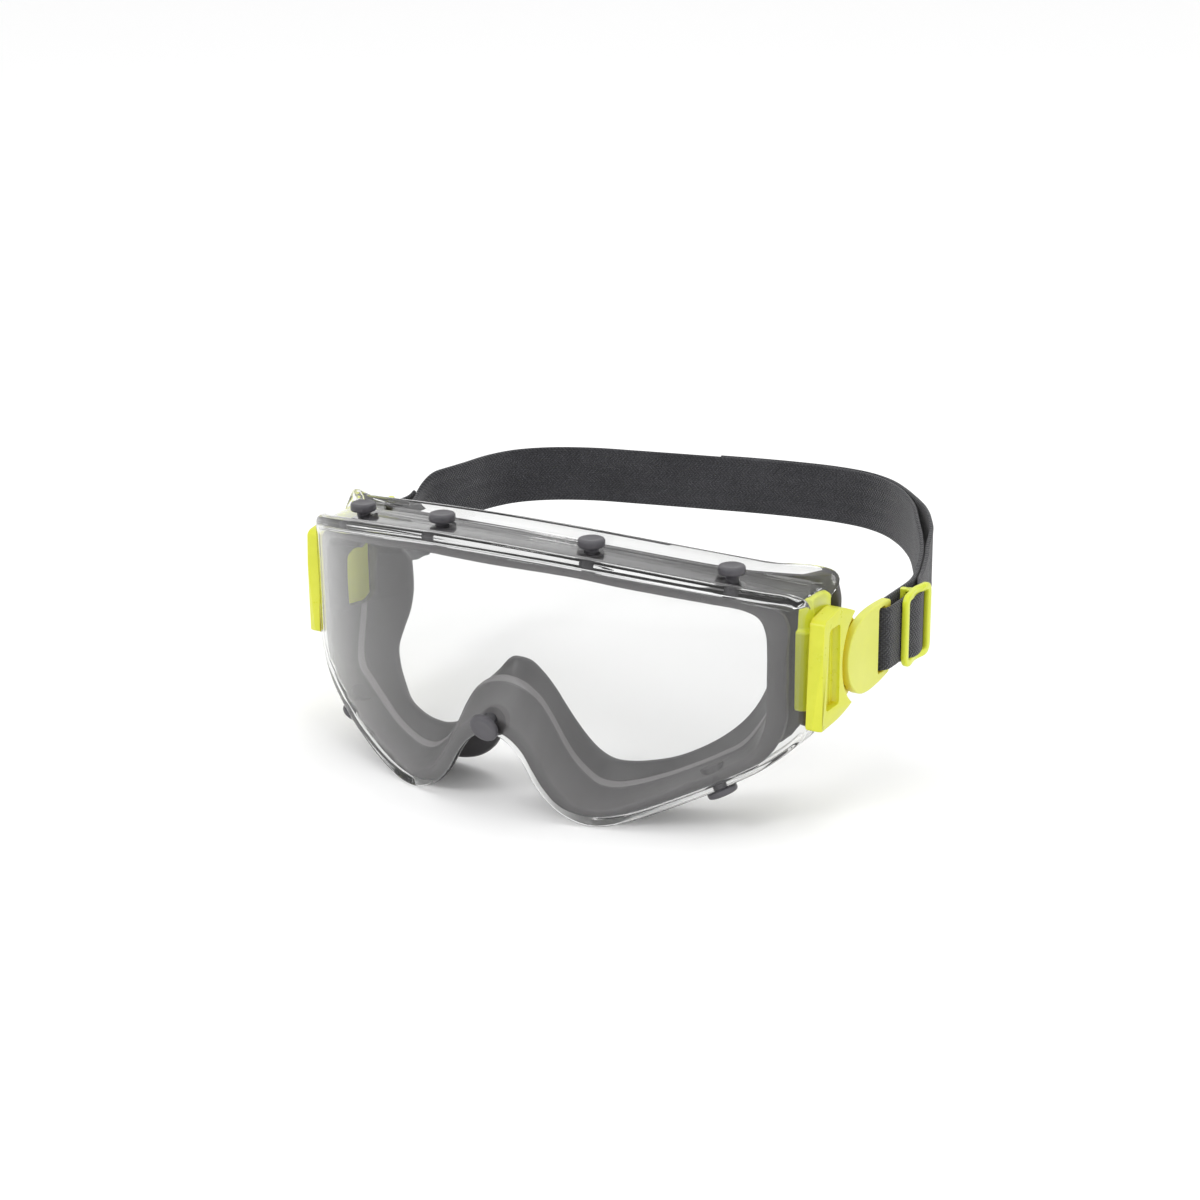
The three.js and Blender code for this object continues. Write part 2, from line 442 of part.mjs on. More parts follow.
// right tail, from its end to the slider: offset of the main run, read backwards
const step = THREE.MathUtils.smoothstep;
const tailOff = (y, x) => {
  if (x < 45) return 1.75;
  return 1.75 + 3.15 * (1 - step(y, 99, 109)) + 2.35 * step(y, 131, 148) * (1 - step(y, 152, 178));
};
const tailRight = [];
for (let i = 0; i < main.length; i++) {
  const p = main[i];
  if (p.x < -20) break;
  const nrm = planNormal(main, i);
  const d = tailOff(p.y, p.x);
  tailRight.push(V3(p.x + nrm.x * d, p.y + nrm.y * d, 0));
}
path.push(...tailRight.reverse());
path.push(V3(STRAP_OUT_X, 97, 0), V3(STRAP_OUT_X, 88, 0));
path.push(...fold(1).reverse());
path.push(V3(STRAP_IN_X, 84, 0), V3(STRAP_IN_X, 96, 0));
path.push(...main);
path.push(splay(-STRAP_IN_X, 98), splay(-STRAP_IN_X, 84.5), V3(-90.42, 82.1, 0), V3(-90.2, 80.6, 0));
path.push(...fold(-1));
path.push(V3(-95.2, 80.1, 0), V3(-95.32, 81.6, 0), splay(-STRAP_OUT_X, 84.5), splay(-STRAP_OUT_X, 102.6));
path.push(splay(-93.9, 105.4), splay(-92.5, 107.7), splay(-92.06, 109.4), splay(-92.05, 110.2));
const strapZ = (p) => STRAP_Z0 + (STRAP_Z1 - STRAP_Z0) * (p.x > 0 ? step(p.y, 112, 165) : step(p.y, 103.5, 116));
function ribbon(pts) {
  const pos = [], idx = [], n = pts.length;
  for (let i = 0; i < n; i++) {
    const p = pts[i];
    const a = pts[Math.max(0, i - 1)], b = pts[Math.min(n - 1, i + 1)];
    const t1 = p.clone().sub(a), t2 = b.clone().sub(p);
    if (t1.lengthSq() < 1e-9) t1.copy(t2);
    if (t2.lengthSq() < 1e-9) t2.copy(t1);
    t1.normalize(); t2.normalize();
    const n1 = V3(t1.y, -t1.x, 0), n2 = V3(t2.y, -t2.x, 0);
    const m = n1.clone().add(n2).normalize();
    const h = STRAP_T / 2 / Math.max(0.6, m.dot(n1));
    const z = strapZ(p);
    for (const [o, w] of [[-h, -STRAP_W / 2], [h, -STRAP_W / 2], [h, STRAP_W / 2], [-h, STRAP_W / 2]]) {
      pos.push(p.x + m.x * o, p.y + m.y * o, z + w);
    }
    if (i < n - 1) {
      const q = i * 4, r = q + 4;
      for (let j = 0; j < 4; j++) {
        const j2 = (j + 1) % 4;
        idx.push(q + j, r + j, r + j2, q + j, r + j2, q + j2);
      }
    }
  }
  const l = (n - 1) * 4;
  idx.push(0, 1, 2, 0, 2, 3, l, l + 2, l + 1, l, l + 3, l + 2);
  const g = new THREE.BufferGeometry();
  g.setAttribute('position', new THREE.Float32BufferAttribute(pos, 3));
  g.setIndex(idx);
  return orient(g);
}
goggles.add(meshOf('head_strap', toSolid(ribbon(path)), WEB, 0.9));

goggles.position.set(0, -FACE_DEPTH, 0);
const part = new THREE.Group();
part.add(goggles);

export default part;
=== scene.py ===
import bpy, bmesh, math
import numpy as np
from mathutils import Vector, Matrix, Quaternion
from mathutils.geometry import delaunay_2d_cdt


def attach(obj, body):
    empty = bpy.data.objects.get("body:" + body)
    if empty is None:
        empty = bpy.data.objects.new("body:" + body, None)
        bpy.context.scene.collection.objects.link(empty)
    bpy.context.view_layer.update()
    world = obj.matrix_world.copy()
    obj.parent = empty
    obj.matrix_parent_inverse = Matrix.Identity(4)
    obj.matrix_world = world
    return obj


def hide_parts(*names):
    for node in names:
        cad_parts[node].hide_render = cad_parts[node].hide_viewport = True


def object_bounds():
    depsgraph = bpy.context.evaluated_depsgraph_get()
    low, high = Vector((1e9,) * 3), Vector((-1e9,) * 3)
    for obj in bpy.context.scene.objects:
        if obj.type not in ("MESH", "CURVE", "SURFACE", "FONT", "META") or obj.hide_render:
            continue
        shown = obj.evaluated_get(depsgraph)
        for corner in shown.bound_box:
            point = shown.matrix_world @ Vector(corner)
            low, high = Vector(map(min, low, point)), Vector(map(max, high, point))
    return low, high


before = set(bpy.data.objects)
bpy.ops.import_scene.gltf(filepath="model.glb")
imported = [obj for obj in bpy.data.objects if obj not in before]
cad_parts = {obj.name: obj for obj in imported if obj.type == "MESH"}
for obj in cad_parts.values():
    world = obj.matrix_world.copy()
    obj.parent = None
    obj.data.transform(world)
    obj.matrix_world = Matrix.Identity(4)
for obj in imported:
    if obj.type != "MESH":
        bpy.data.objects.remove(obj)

CAD_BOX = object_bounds()
SCN = bpy.context.scene

# ------------------------------------------------------------------ design space
# Millimetres with the visor's crown at y = 0; the row frame has its origin 20 mm behind it.
FACE = 20.0
def V(p):
    return Vector((p[0] * 1e-3, (p[1] - FACE) * 1e-3, p[2] * 1e-3))

LENS_R, LENS_T, HALF_W = 129.1, 2.2, 88.0
TOP_Z, TOP_DROP = 37.6, 14.0
PIV = (66.4, -0.5)
def topz(x):
    return TOP_Z - TOP_DROP * (x / HALF_W) ** 2
def ycyl(x, r=LENS_R):
    return LENS_R - math.sqrt(max(r * r - x * x, 1.0))
def smooth(x, a, b):
    t = min(1.0, max(0.0, (x - a) / (b - a)))
    return t * t * (3 - 2 * t)
def lerp(a, b, t):
    return a + (b - a) * t

# ------------------------------------------------------------------ curves
def catmull(pts, n, closed=True):
    """n points on a centripetal Catmull-Rom curve, spaced evenly by control index."""
    p = np.array(pts, float)
    m = len(p)
    segs = m if closed else m - 1
    out = []
    for k in range(n):
        t = k / n * segs if closed else k / (n - 1) * segs
        i = min(int(t), segs - 1)
        u = t - i
        def at(j):
            if closed:
                return p[j % m]
            if j < 0:
                return 2 * p[0] - p[1]
            if j >= m:
                return 2 * p[-1] - p[-2]
            return p[j]
        p0, p1, p2, p3 = at(i - 1), at(i), at(i + 1), at(i + 2)
        d0 = max(np.linalg.norm(p1 - p0) ** 0.5, 1e-4)
        d1 = max(np.linalg.norm(p2 - p1) ** 0.5, 1e-4)
        d2 = max(np.linalg.norm(p3 - p2) ** 0.5, 1e-4)
        m1 = (p1 - p0) / d0 - (p2 - p0) / (d0 + d1) + (p2 - p1) / d1
        m2 = (p2 - p1) / d1 - (p3 - p1) / (d1 + d2) + (p3 - p2) / d2
        m1, m2 = m1 * d1, m2 * d1
        u2, u3 = u * u, u * u * u
        out.append((2 * u3 - 3 * u2 + 1) * p1 + (u3 - 2 * u2 + u) * m1 + (-2 * u3 + 3 * u2) * p2 + (u3 - u2) * m2)
    return np.array(out)

def resample(p, step, closed=True):
    q = np.vstack([p, p[:1]]) if closed else p
    s = np.concatenate([[0], np.cumsum(np.linalg.norm(np.diff(q, axis=0), axis=1))])
    n = max(3, int(round(s[-1] / step)))
    t = np.linspace(0, s[-1], n + 1)
    if closed:
        t = t[:-1]
    return np.stack([np.interp(t, s, q[:, k]) for k in range(q.shape[1])], 1)

def outward(p):
    """Outward unit normals of a closed outline."""
    a, b = np.roll(p, 1, 0), np.roll(p, -1, 0)
    t = b - a
    t /= np.linalg.norm(t, axis=1)[:, None]
    n = np.stack([t[:, 1], -t[:, 0]], 1)
    area = np.sum(p[:, 0] * np.roll(p[:, 1], -1) - np.roll(p[:, 0], -1) * p[:, 1])
    return n if area > 0 else -n

def mirror(half):
    return [tuple(h) for h in half] + [(-h[0],) + tuple(h[1:]) for h in half[1:-1][::-1]]

# ------------------------------------------------------------------ mesh helpers
def make(name, verts, faces, mat, sharp=35.0, uv=None):
    me = bpy.data.meshes.new(name)
    me.from_pydata([tuple(v) for v in verts], [], faces)
    me.validate(clean_customdata=False)
    bm = bmesh.new()
    bm.from_mesh(me)
    bmesh.ops.recalc_face_normals(bm, faces=bm.faces)
    bm.to_mesh(me)
    bm.free()
    for p in me.polygons:
        p.use_smooth = True
    if sharp is not None:
        me.set_sharp_from_angle(angle=math.radians(sharp))
    me.materials.append(mat)
    o = bpy.data.objects.new(name, me)
    SCN.collection.objects.link(o)
    return o

def ring_faces(n, m, closed_n=True, closed_m=True):
    f = []
    for i in range(n if closed_n else n - 1):
        a, b = i * m, ((i + 1) % n) * m
        for j in range(m if closed_m else m - 1):
            k = (j + 1) % m
            f.append((a + j, b + j, b + k, a + k))
    return f

def round_poly(pts, radii, seg=4):
    """Closed polygon with each corner replaced by a smooth arc; the same count for every station."""
    out = []
    n = len(pts)
    for i in range(n):
        p = pts[i]
        a, b = pts[i - 1], pts[(i + 1) % n]
        la, lb = np.linalg.norm(a - p), np.linalg.norm(b - p)
        ra, rb = min(radii[i], 0.46 * la), min(radii[i], 0.46 * lb)
        p1 = p + (a - p) / max(la, 1e-6) * ra
        p2 = p + (b - p) / max(lb, 1e-6) * rb
        for k in range(seg + 1):
            t = k / seg
            out.append((1 - t) ** 2 * p1 + 2 * t * (1 - t) * p + t * t * p2)
    return out

def apply_mods(o):
    dg = bpy.context.evaluated_depsgraph_get()
    dg.update()
    me = bpy.data.meshes.new_from_object(o.evaluated_get(dg), preserve_all_data_layers=True, depsgraph=dg)
    old = o.data
    o.modifiers.clear()
    o.data = me
    bpy.data.meshes.remove(old)
    return o

def boolean(o, cutter, op="DIFFERENCE"):
    m = o.modifiers.new("cut", "BOOLEAN")
    m.operation = op
    m.solver = "EXACT"
    m.object = cutter
    apply_mods(o)
    bpy.data.objects.remove(cutter)
    return o

def bevel(o, width, seg=3, angle=32.0, sharp=40.0):
    m = o.modifiers.new("edge", "BEVEL")
    m.width = width * 1e-3
    m.segments = seg
    m.limit_method = "ANGLE"
    m.angle_limit = math.radians(angle)
    m.use_clamp_overlap = True
    m.miter_outer = "MITER_ARC"
    m.harden_normals = False
    apply_mods(o)
    for p in o.data.polygons:
        p.use_smooth = True
    o.data.set_sharp_from_angle(angle=math.radians(sharp))
    w = o.modifiers.new("wn", "WEIGHTED_NORMAL")
    w.keep_sharp = True
    apply_mods(o)
    return o

def prism_x(name, pts, x0, x1, mat):
    """Prism of a (y, z) outline between x0 and x1."""
    n = len(pts)
    v = [V((x0, p[0], p[1])) for p in pts] + [V((x1, p[0], p[1])) for p in pts]
    f = [tuple(range(n)), tuple(range(2 * n - 1, n - 1, -1))]
    f += [(i, (i + 1) % n, n + (i + 1) % n, n + i) for i in range(n)]
    return make(name, v, f, mat, sharp=None)

def lathe(name, profile, base, direction, mat, seg=64, sharp=50):
    """Solid of revolution; profile is (radius, height) from axis to axis."""
    q = Vector((0, 0, 1)).rotation_difference(Vector(direction).normalized())
    v, f = [], []
    b = Vector(base)
    ring = [p for p in profile if p[0] > 1e-6]
    v.append(V(b + q @ Vector((0, 0, profile[0][1]))))
    for r, h in ring:
        for k in range(seg):
            a = 2 * math.pi * k / seg
            v.append(V(b + q @ Vector((r * math.cos(a), r * math.sin(a), h))))
    v.append(V(b + q @ Vector((0, 0, profile[-1][1]))))
    last = len(v) - 1
    for i in range(len(ring) - 1):
        for k in range(seg):
            k2 = (k + 1) % seg
            f.append((1 + i * seg + k, 1 + i * seg + k2, 1 + (i + 1) * seg + k2, 1 + (i + 1) * seg + k))
    for k in range(seg):
        k2 = (k + 1) % seg
        f.append((0, 1 + k2, 1 + k))
        o = 1 + (len(ring) - 1) * seg
        f.append((last, o + k, o + k2))
    return make(name, v, f, mat, sharp=sharp)

# ------------------------------------------------------------------ materials
def new_mat(name):
    m = bpy.data.materials.new(name)
    m.use_nodes = True
    nt = m.node_tree
    for n in list(nt.nodes):
        nt.nodes.remove(n)
    return m, nt

def N(nt, kind, **kw):
    n = nt.nodes.new(kind)
    for k, v in kw.items():
        if k.startswith("in_"):
            n.inputs[k[3:].replace("_", " ")].default_value = v
        else:
            setattr(n, k, v)
    return n

def ramp(nt, fac, stops):
    r = nt.nodes.new("ShaderNodeValToRGB")
    while len(r.color_ramp.elements) > 1:
        r.color_ramp.elements.remove(r.color_ramp.elements[-1])
    for i, (pos, col) in enumerate(stops):
        e = r.color_ramp.elements[0] if i == 0 else r.color_ramp.elements.new(pos)
        e.position = pos
        e.color = tuple(col) + (1.0,) if len(col) == 3 else col
    nt.links.new(fac, r.inputs["Fac"])
    return r.outputs["Color"]

def plastic(name, dark, mid, light, rough=(0.32, 0.48), scale=260.0, bump=0.02, sss=0.0, spec=0.5, coat=0.0, fine=2600.0, painted_bounce_colour=None, tone=None, painted_glow=0.0):
    """Moulded plastic or elastomer: slight flow mottling, fine erosion grain and uneven gloss; optional painted light:
    a crease highlight and funnel shade from a UV map, a deeper orange-yellow bounce light in crevices, and a glow.
    """
    m, nt = new_mat(name)
    out = N(nt, "ShaderNodeOutputMaterial")
    b = N(nt, "ShaderNodeBsdfPrincipled")
    tc = N(nt, "ShaderNodeTexCoord")
    n1 = N(nt, "ShaderNodeTexNoise", in_Scale=scale, in_Detail=5.0, in_Roughness=0.55)
    n2 = N(nt, "ShaderNodeTexNoise", in_Scale=fine, in_Detail=3.0, in_Roughness=0.6)
    n3 = N(nt, "ShaderNodeTexNoise", in_Scale=scale * 0.16, in_Detail=3.0, in_Roughness=0.5)
    for n in (n1, n2, n3):
        nt.links.new(tc.outputs["Object"], n.inputs["Vector"])
    add = N(nt, "ShaderNodeMath", operation="MULTIPLY_ADD")
    nt.links.new(n3.outputs["Fac"], add.inputs[0])
    add.inputs[1].default_value = 0.6
    mul = N(nt, "ShaderNodeMath", operation="MULTIPLY")
    nt.links.new(n1.outputs["Fac"], mul.inputs[0])
    mul.inputs[1].default_value = 0.4
    nt.links.new(mul.outputs[0], add.inputs[2])
    col = ramp(nt, add.outputs[0], [(0.32, dark), (0.5, mid), (0.68, light)])
    # painted highlight along the crease (UV x) and painted shade in the funnel (UV y)
    if tone:
        uvn = N(nt, "ShaderNodeUVMap", uv_map="tone")
        sp = N(nt, "ShaderNodeSeparateXYZ")
        nt.links.new(uvn.outputs["UV"], sp.inputs["Vector"])
        for axis, target in (("X", tone[0]), ("Y", tone[1])):
            mx = N(nt, "ShaderNodeMix", data_type="RGBA")
            nt.links.new(sp.outputs[axis], mx.inputs[0])
            nt.links.new(col, mx.inputs[6])
            mx.inputs[7].default_value = tuple(target) + (1,)
            col = mx.outputs[2]
    if painted_bounce_colour:
        # painted bounce light and shade: the colour turns a deeper orange-yellow where the AO node finds walls facing
        # each other
        ao = N(nt, "ShaderNodeAmbientOcclusion", samples=8, only_local=False)
        ao.inputs["Distance"].default_value = 0.0045
        dm = N(nt, "ShaderNodeMapRange")
        dm.inputs["From Min"].default_value = 0.2
        dm.inputs["From Max"].default_value = 0.8
        nt.links.new(ao.outputs["AO"], dm.inputs["Value"])
        mx = N(nt, "ShaderNodeMix", data_type="RGBA")
        nt.links.new(dm.outputs["Result"], mx.inputs[0])
        mx.inputs[6].default_value = tuple(painted_bounce_colour) + (1,)
        nt.links.new(col, mx.inputs[7])
        col = mx.outputs[2]
    nt.links.new(col, b.inputs["Base Color"])
    mr = N(nt, "ShaderNodeMapRange")
    mr.inputs["From Min"].default_value = 0.3
    mr.inputs["From Max"].default_value = 0.7
    mr.inputs["To Min"].default_value = rough[0]
    mr.inputs["To Max"].default_value = rough[1]
    nt.links.new(n1.outputs["Fac"], mr.inputs["Value"])
    nt.links.new(mr.outputs["Result"], b.inputs["Roughness"])
    bp = N(nt, "ShaderNodeBump")
    bp.inputs["Strength"].default_value = 0.6
    bp.inputs["Distance"].default_value = bump * 1e-3
    nt.links.new(n2.outputs["Fac"], bp.inputs["Height"])
    nt.links.new(bp.outputs["Normal"], b.inputs["Normal"])
    b.inputs["Specular IOR Level"].default_value = spec
    if sss:
        b.inputs["Subsurface Weight"].default_value = sss
        b.inputs["Subsurface Radius"].default_value = (1.0, 0.8, 0.2)
        b.inputs["Subsurface Scale"].default_value = 0.0016
    if painted_glow:
        # painted glow: emission in the lightest colour brightens the part as if it were lit
        b.inputs["Emission Color"].default_value = tuple(light) + (1,)
        b.inputs["Emission Strength"].default_value = painted_glow
    if coat:
        b.inputs["Coat Weight"].default_value = coat
        b.inputs["Coat Roughness"].default_value = 0.12
    nt.links.new(b.outputs["BSDF"], out.inputs["Surface"])
    return m

def clear_plastic(name):
    m, nt = new_mat(name)
    out = N(nt, "ShaderNodeOutputMaterial")
    b = N(nt, "ShaderNodeBsdfPrincipled")
    b.inputs["Base Color"].default_value = (0.845, 0.848, 0.845, 1)
    b.inputs["Transmission Weight"].default_value = 1.0
    b.inputs["IOR"].default_value = 1.5
    tc = N(nt, "ShaderNodeTexCoord")
    n1 = N(nt, "ShaderNodeTexNoise", in_Scale=70.0, in_Detail=4.0, in_Roughness=0.6)
    nt.links.new(tc.outputs["Object"], n1.inputs["Vector"])
    mr = N(nt, "ShaderNodeMapRange")
    mr.inputs["From Min"].default_value = 0.35
    mr.inputs["From Max"].default_value = 0.75
    mr.inputs["To Min"].default_value = 0.0
    mr.inputs["To Max"].default_value = 0.025
    nt.links.new(n1.outputs["Fac"], mr.inputs["Value"])
    nt.links.new(mr.outputs["Result"], b.inputs["Roughness"])
    t = N(nt, "ShaderNodeBsdfTransparent")
    t.inputs["Color"].default_value = (0.97, 0.97, 0.965, 1)
    lp = N(nt, "ShaderNodeLightPath")
    mix = N(nt, "ShaderNodeMixShader")
    nt.links.new(lp.outputs["Is Shadow Ray"], mix.inputs["Fac"])
    nt.links.new(b.outputs["BSDF"], mix.inputs[1])
    nt.links.new(t.outputs["BSDF"], mix.inputs[2])
    nt.links.new(mix.outputs["Shader"], out.inputs["Surface"])
    return m

def webbing(name):
    """Woven elastic webbing. UV.x runs along the strap in metres, UV.y across it."""
    m, nt = new_mat(name)
    out = N(nt, "ShaderNodeOutputMaterial")
    b = N(nt, "ShaderNodeBsdfPrincipled")
    uv = N(nt, "ShaderNodeUVMap")
    sep = N(nt, "ShaderNodeSeparateXYZ")
    nt.links.new(uv.outputs["UV"], sep.inputs["Vector"])
    def math_(op, a, bval=None, c=None):
        n = N(nt, "ShaderNodeMath", operation=op)
        for i, s in enumerate((a, bval, c)):
            if s is None:
                continue
            if isinstance(s, (int, float)):
                n.inputs[i].default_value = s
            else:
                nt.links.new(s, n.inputs[i])
        return n.outputs[0]
    u, v = sep.outputs["X"], sep.outputs["Y"]
    # diagonal float pattern: twill ribs that turn back in a zig-zag across the width
    zig = math_("PINGPONG", v, 0.0026)
    d = math_("ADD", u, math_("MULTIPLY", zig, 1.0))
    twill = math_("SINE", math_("MULTIPLY", d, 2 * math.pi / 0.00135))
    warp = math_("SINE", math_("MULTIPLY", v, 2 * math.pi / 0.00072))
    weft = math_("SINE", math_("MULTIPLY", u, 2 * math.pi / 0.00058))
    h = math_("ADD", math_("MULTIPLY", twill, 0.5), math_("ADD", math_("MULTIPLY", warp, 0.3), math_("MULTIPLY", weft, 0.25)))
    tc = N(nt, "ShaderNodeTexCoord")
    n1 = N(nt, "ShaderNodeTexNoise", in_Scale=900.0, in_Detail=4.0, in_Roughness=0.65)
    n2 = N(nt, "ShaderNodeTexNoise", in_Scale=60.0, in_Detail=3.0)
    nt.links.new(tc.outputs["Object"], n1.inputs["Vector"])
    nt.links.new(tc.outputs["Object"], n2.inputs["Vector"])
    mixf = math_("ADD", math_("MULTIPLY", h, 0.17), math_("ADD", math_("MULTIPLY", n1.outputs["Fac"], 0.55), math_("MULTIPLY", n2.outputs["Fac"], 0.3)))
    col = ramp(nt, mixf, [(0.12, (0.014, 0.014, 0.016)), (0.42, (0.032, 0.032, 0.036)), (0.72, (0.064, 0.064, 0.070))])
    nt.links.new(col, b.inputs["Base Color"])
    bp = N(nt, "ShaderNodeBump")
    bp.inputs["Strength"].default_value = 0.75
    bp.inputs["Distance"].default_value = 0.00022
    hh = math_("ADD", h, math_("MULTIPLY", n1.outputs["Fac"], 0.8))
    nt.links.new(hh, bp.inputs["Height"])
    nt.links.new(bp.outputs["Normal"], b.inputs["Normal"])
    b.inputs["Roughness"].default_value = 0.86
    b.inputs["Specular IOR Level"].default_value = 0.25
    b.inputs["Sheen Weight"].default_value = 0.25
    b.inputs["Sheen Roughness"].default_value = 0.45
    nt.links.new(b.outputs["BSDF"], out.inputs["Surface"])
    return m

M_LENS = clear_plastic("visor_clear")
# the frame's second pair of colours paints a highlight on the crease and shade in the funnel
M_FRAME = plastic("frame_rubber", (0.058, 0.056, 0.058), (0.066, 0.063, 0.066), (0.074, 0.071, 0.074), rough=(0.38, 0.52), scale=90, bump=0.0014, spec=0.45, tone=((0.21, 0.20, 0.205), (0.024, 0.022, 0.024)))
M_PLUG = plastic("plug_rubber", (0.062, 0.060, 0.068), (0.070, 0.067, 0.075), (0.082, 0.079, 0.089), rough=(0.36, 0.48), scale=300, bump=0.02, spec=0.5)
# the anchor's base colour is raised and it gets a painted glow, so that it stays bright in the frame's shade
M_ANCH = plastic("anchor_plastic", (0.68, 0.74, 0.012), (0.72, 0.78, 0.016), (0.76, 0.81, 0.026), rough=(0.35, 0.45), sss=0.1, painted_glow=0.16)
# housing and clip: painted bounce light turns their crevices a deeper orange-yellow
M_HOUS = plastic("housing_plastic", (0.58, 0.61, 0.026), (0.62, 0.64, 0.034), (0.655, 0.675, 0.046), rough=(0.26, 0.4), sss=0.1, painted_bounce_colour=(0.74, 0.58, 0.008))
M_CLIP = plastic("clip_plastic", (0.61, 0.635, 0.09), (0.64, 0.66, 0.108), (0.67, 0.69, 0.13), rough=(0.42, 0.55), bump=0.035, sss=0.1, painted_bounce_colour=(0.74, 0.60, 0.012))
M_SLID = plastic("slider_plastic", (0.58, 0.65, 0.028), (0.62, 0.68, 0.036), (0.655, 0.71, 0.05), rough=(0.26, 0.38), sss=0.1)
M_PIN = plastic("pin_plastic", (0.58, 0.60, 0.03), (0.62, 0.64, 0.04), (0.66, 0.68, 0.05), rough=(0.35, 0.45))
M_WEB = webbing("strap_webbing")

def place(o, body, slot_, *nodes):
    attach(o, body)
    if nodes:
        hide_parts(*nodes)
    return o

# ------------------------------------------------------------------ visor
lower = [(88, -17.5), (86.8, -21), (84.7, -23.6), (78.4, -28.9), (72, -32.6), (65.5, -36), (56.3, -40.3), (47, -44.5),
         (41.3, -46.6), (36.7, -47.9), (31.4, -48.2), (26, -46.8), (20.5, -43.6), (15.3, -38), (10.5, -30), (6.5, -25.6), (3, -23.8), (0, -23.5)]
upper = [(x, topz(x)) for x in (0, 12, 24, 36, 48, 60, 70, 78, 83.5)] + [(86.3, 23.4), (87.6, 21.8), (88, 19.5), (88, 10), (88, 0), (88, -9)]
OUT = resample(catmull(mirror(upper + lower), 1400), 0.9)
OUT_N = outward(OUT)
# soften the normals a little so that the inner rings never fold at the corners
for _ in range(3):
    OUT_N = (np.roll(OUT_N, 1, 0) + 2 * OUT_N + np.roll(OUT_N, -1, 0))
    OUT_N /= np.linalg.norm(OUT_N, axis=1)[:, None]

def visor_profile(x, z):
    """(outward offset, from the outer or inner surface, depth) round the edge, from front patch to back patch."""
    ax = abs(x)
    top = 1.0 if (ax < 80 and z > 0) else smooth(z, 19.0, 24.6) * (1 if z > 0 else 0)
    t_in = ycyl(x, LENS_R - LENS_T) - ycyl(x)
    if z > 15:
        side_d = 17.4
    else:
        side_d = 13.4 + 4.0 * max(0.0, (z + 15.5)) / 38.0
    flange = smooth(ax, 30.5, 43.0) if z < -17.5 else 1.0
    base_d = lerp(side_d, 12.0, smooth(-z, 15.5, 22.0))
    D = lerp(base_d, 22.0, top)
    D = lerp(t_in, D, flange)
    c = 1.8 * top
    l = (1.9 + 1.2 * smooth(ax, 70, 82)) * top
    w = lerp(1.75, 3.6, top)
    rf = min(1.5, 0.5 * t_in)
    g = flange
    pts = [(-1.6, 0, 0.0), (-0.95, 0, 0.06), (-0.45, 0, 0.24), (-0.14, 0, 0.62 * rf / 1.1), (0, 0, rf * 0.9)]
    # ridge, fall to the channel floor, floor, rise of the rear lip
    pts += [(0, 0, lerp(rf * 0.9, 2.6, g)), (-0.12 * c / 1.8, 0, lerp(rf * 0.95, 3.0, g)), (-0.62 * c, 0, lerp(rf, 3.5, g)), (-0.95 * c, 0, lerp(rf, 3.9, g)), (-c, 0, lerp(rf, 4.6, g))]
    a = max(rf, D - 3.4)
    pts += [(-c, 0, lerp(rf, lerp(4.6, a, 0.33), g)), (-c, 0, lerp(rf, lerp(4.6, a, 0.66), g)), (-c, 0, lerp(rf, a, g))]
    pts += [(-0.95 * c, 0, lerp(rf, D - 2.7, g)), (-0.6 * c, 0, lerp(rf, D - 2.2, g)), (0.1 * l, 0, lerp(rf, D - 1.95, g)), (0.8 * l, 0, lerp(rf * 1.02, D - 1.75, g)), (l, 0, lerp(rf * 1.05, D - 1.3, g))]
    r = lerp(0.45, 0.5, g)
    pts += [(l, 0, max(D - r * 1.4, rf * 1.05)), (l - 0.15, 0, D - 0.35 * r), (l - r, 0, D)]
    # underside, forward to the back patch
    pts += [(lerp(l, -w, 0.5), 0, D), (lerp(-1.2, -w + r, g), 0, D), (lerp(-1.5, -w + 0.12, g), 0, lerp(D, D - 0.35 * r, g)), (lerp(-1.8, -w, g), 0, lerp(D, D - r * 1.3, g))]
    dd = D - t_in
    pts += [(lerp(-2.1, -w, g), 1, dd * 0.72), (lerp(-2.4, -w, g), 1, dd * 0.45), (lerp(-2.7, -w - 0.02, g), 1, min(1.7, dd * 0.25)), (lerp(-3.0, -w - 0.25, g), 1, min(0.85, dd * 0.1)), (lerp(-3.3, -w - 0.8, g), 1, min(0.28, dd * 0.05)), (lerp(-3.6, -w - 1.7, g), 1, 0.0)]
    return pts

rings, ring_front, ring_back = [], [], []
for (x, z), n in zip(OUT, OUT_N):
    r = []
    prof = visor_profile(x, z)
    for o_, base, d in prof:
        X, Z = x + n[0] * o_, z + n[1] * o_
        r.append((X, ycyl(X, LENS_R if base == 0 else LENS_R - LENS_T) + d, Z))
    rings.append(r)
nS, nP = len(rings), len(rings[0])
verts = [p for r in rings for p in r]
faces = ring_faces(nS, nP, True, False)

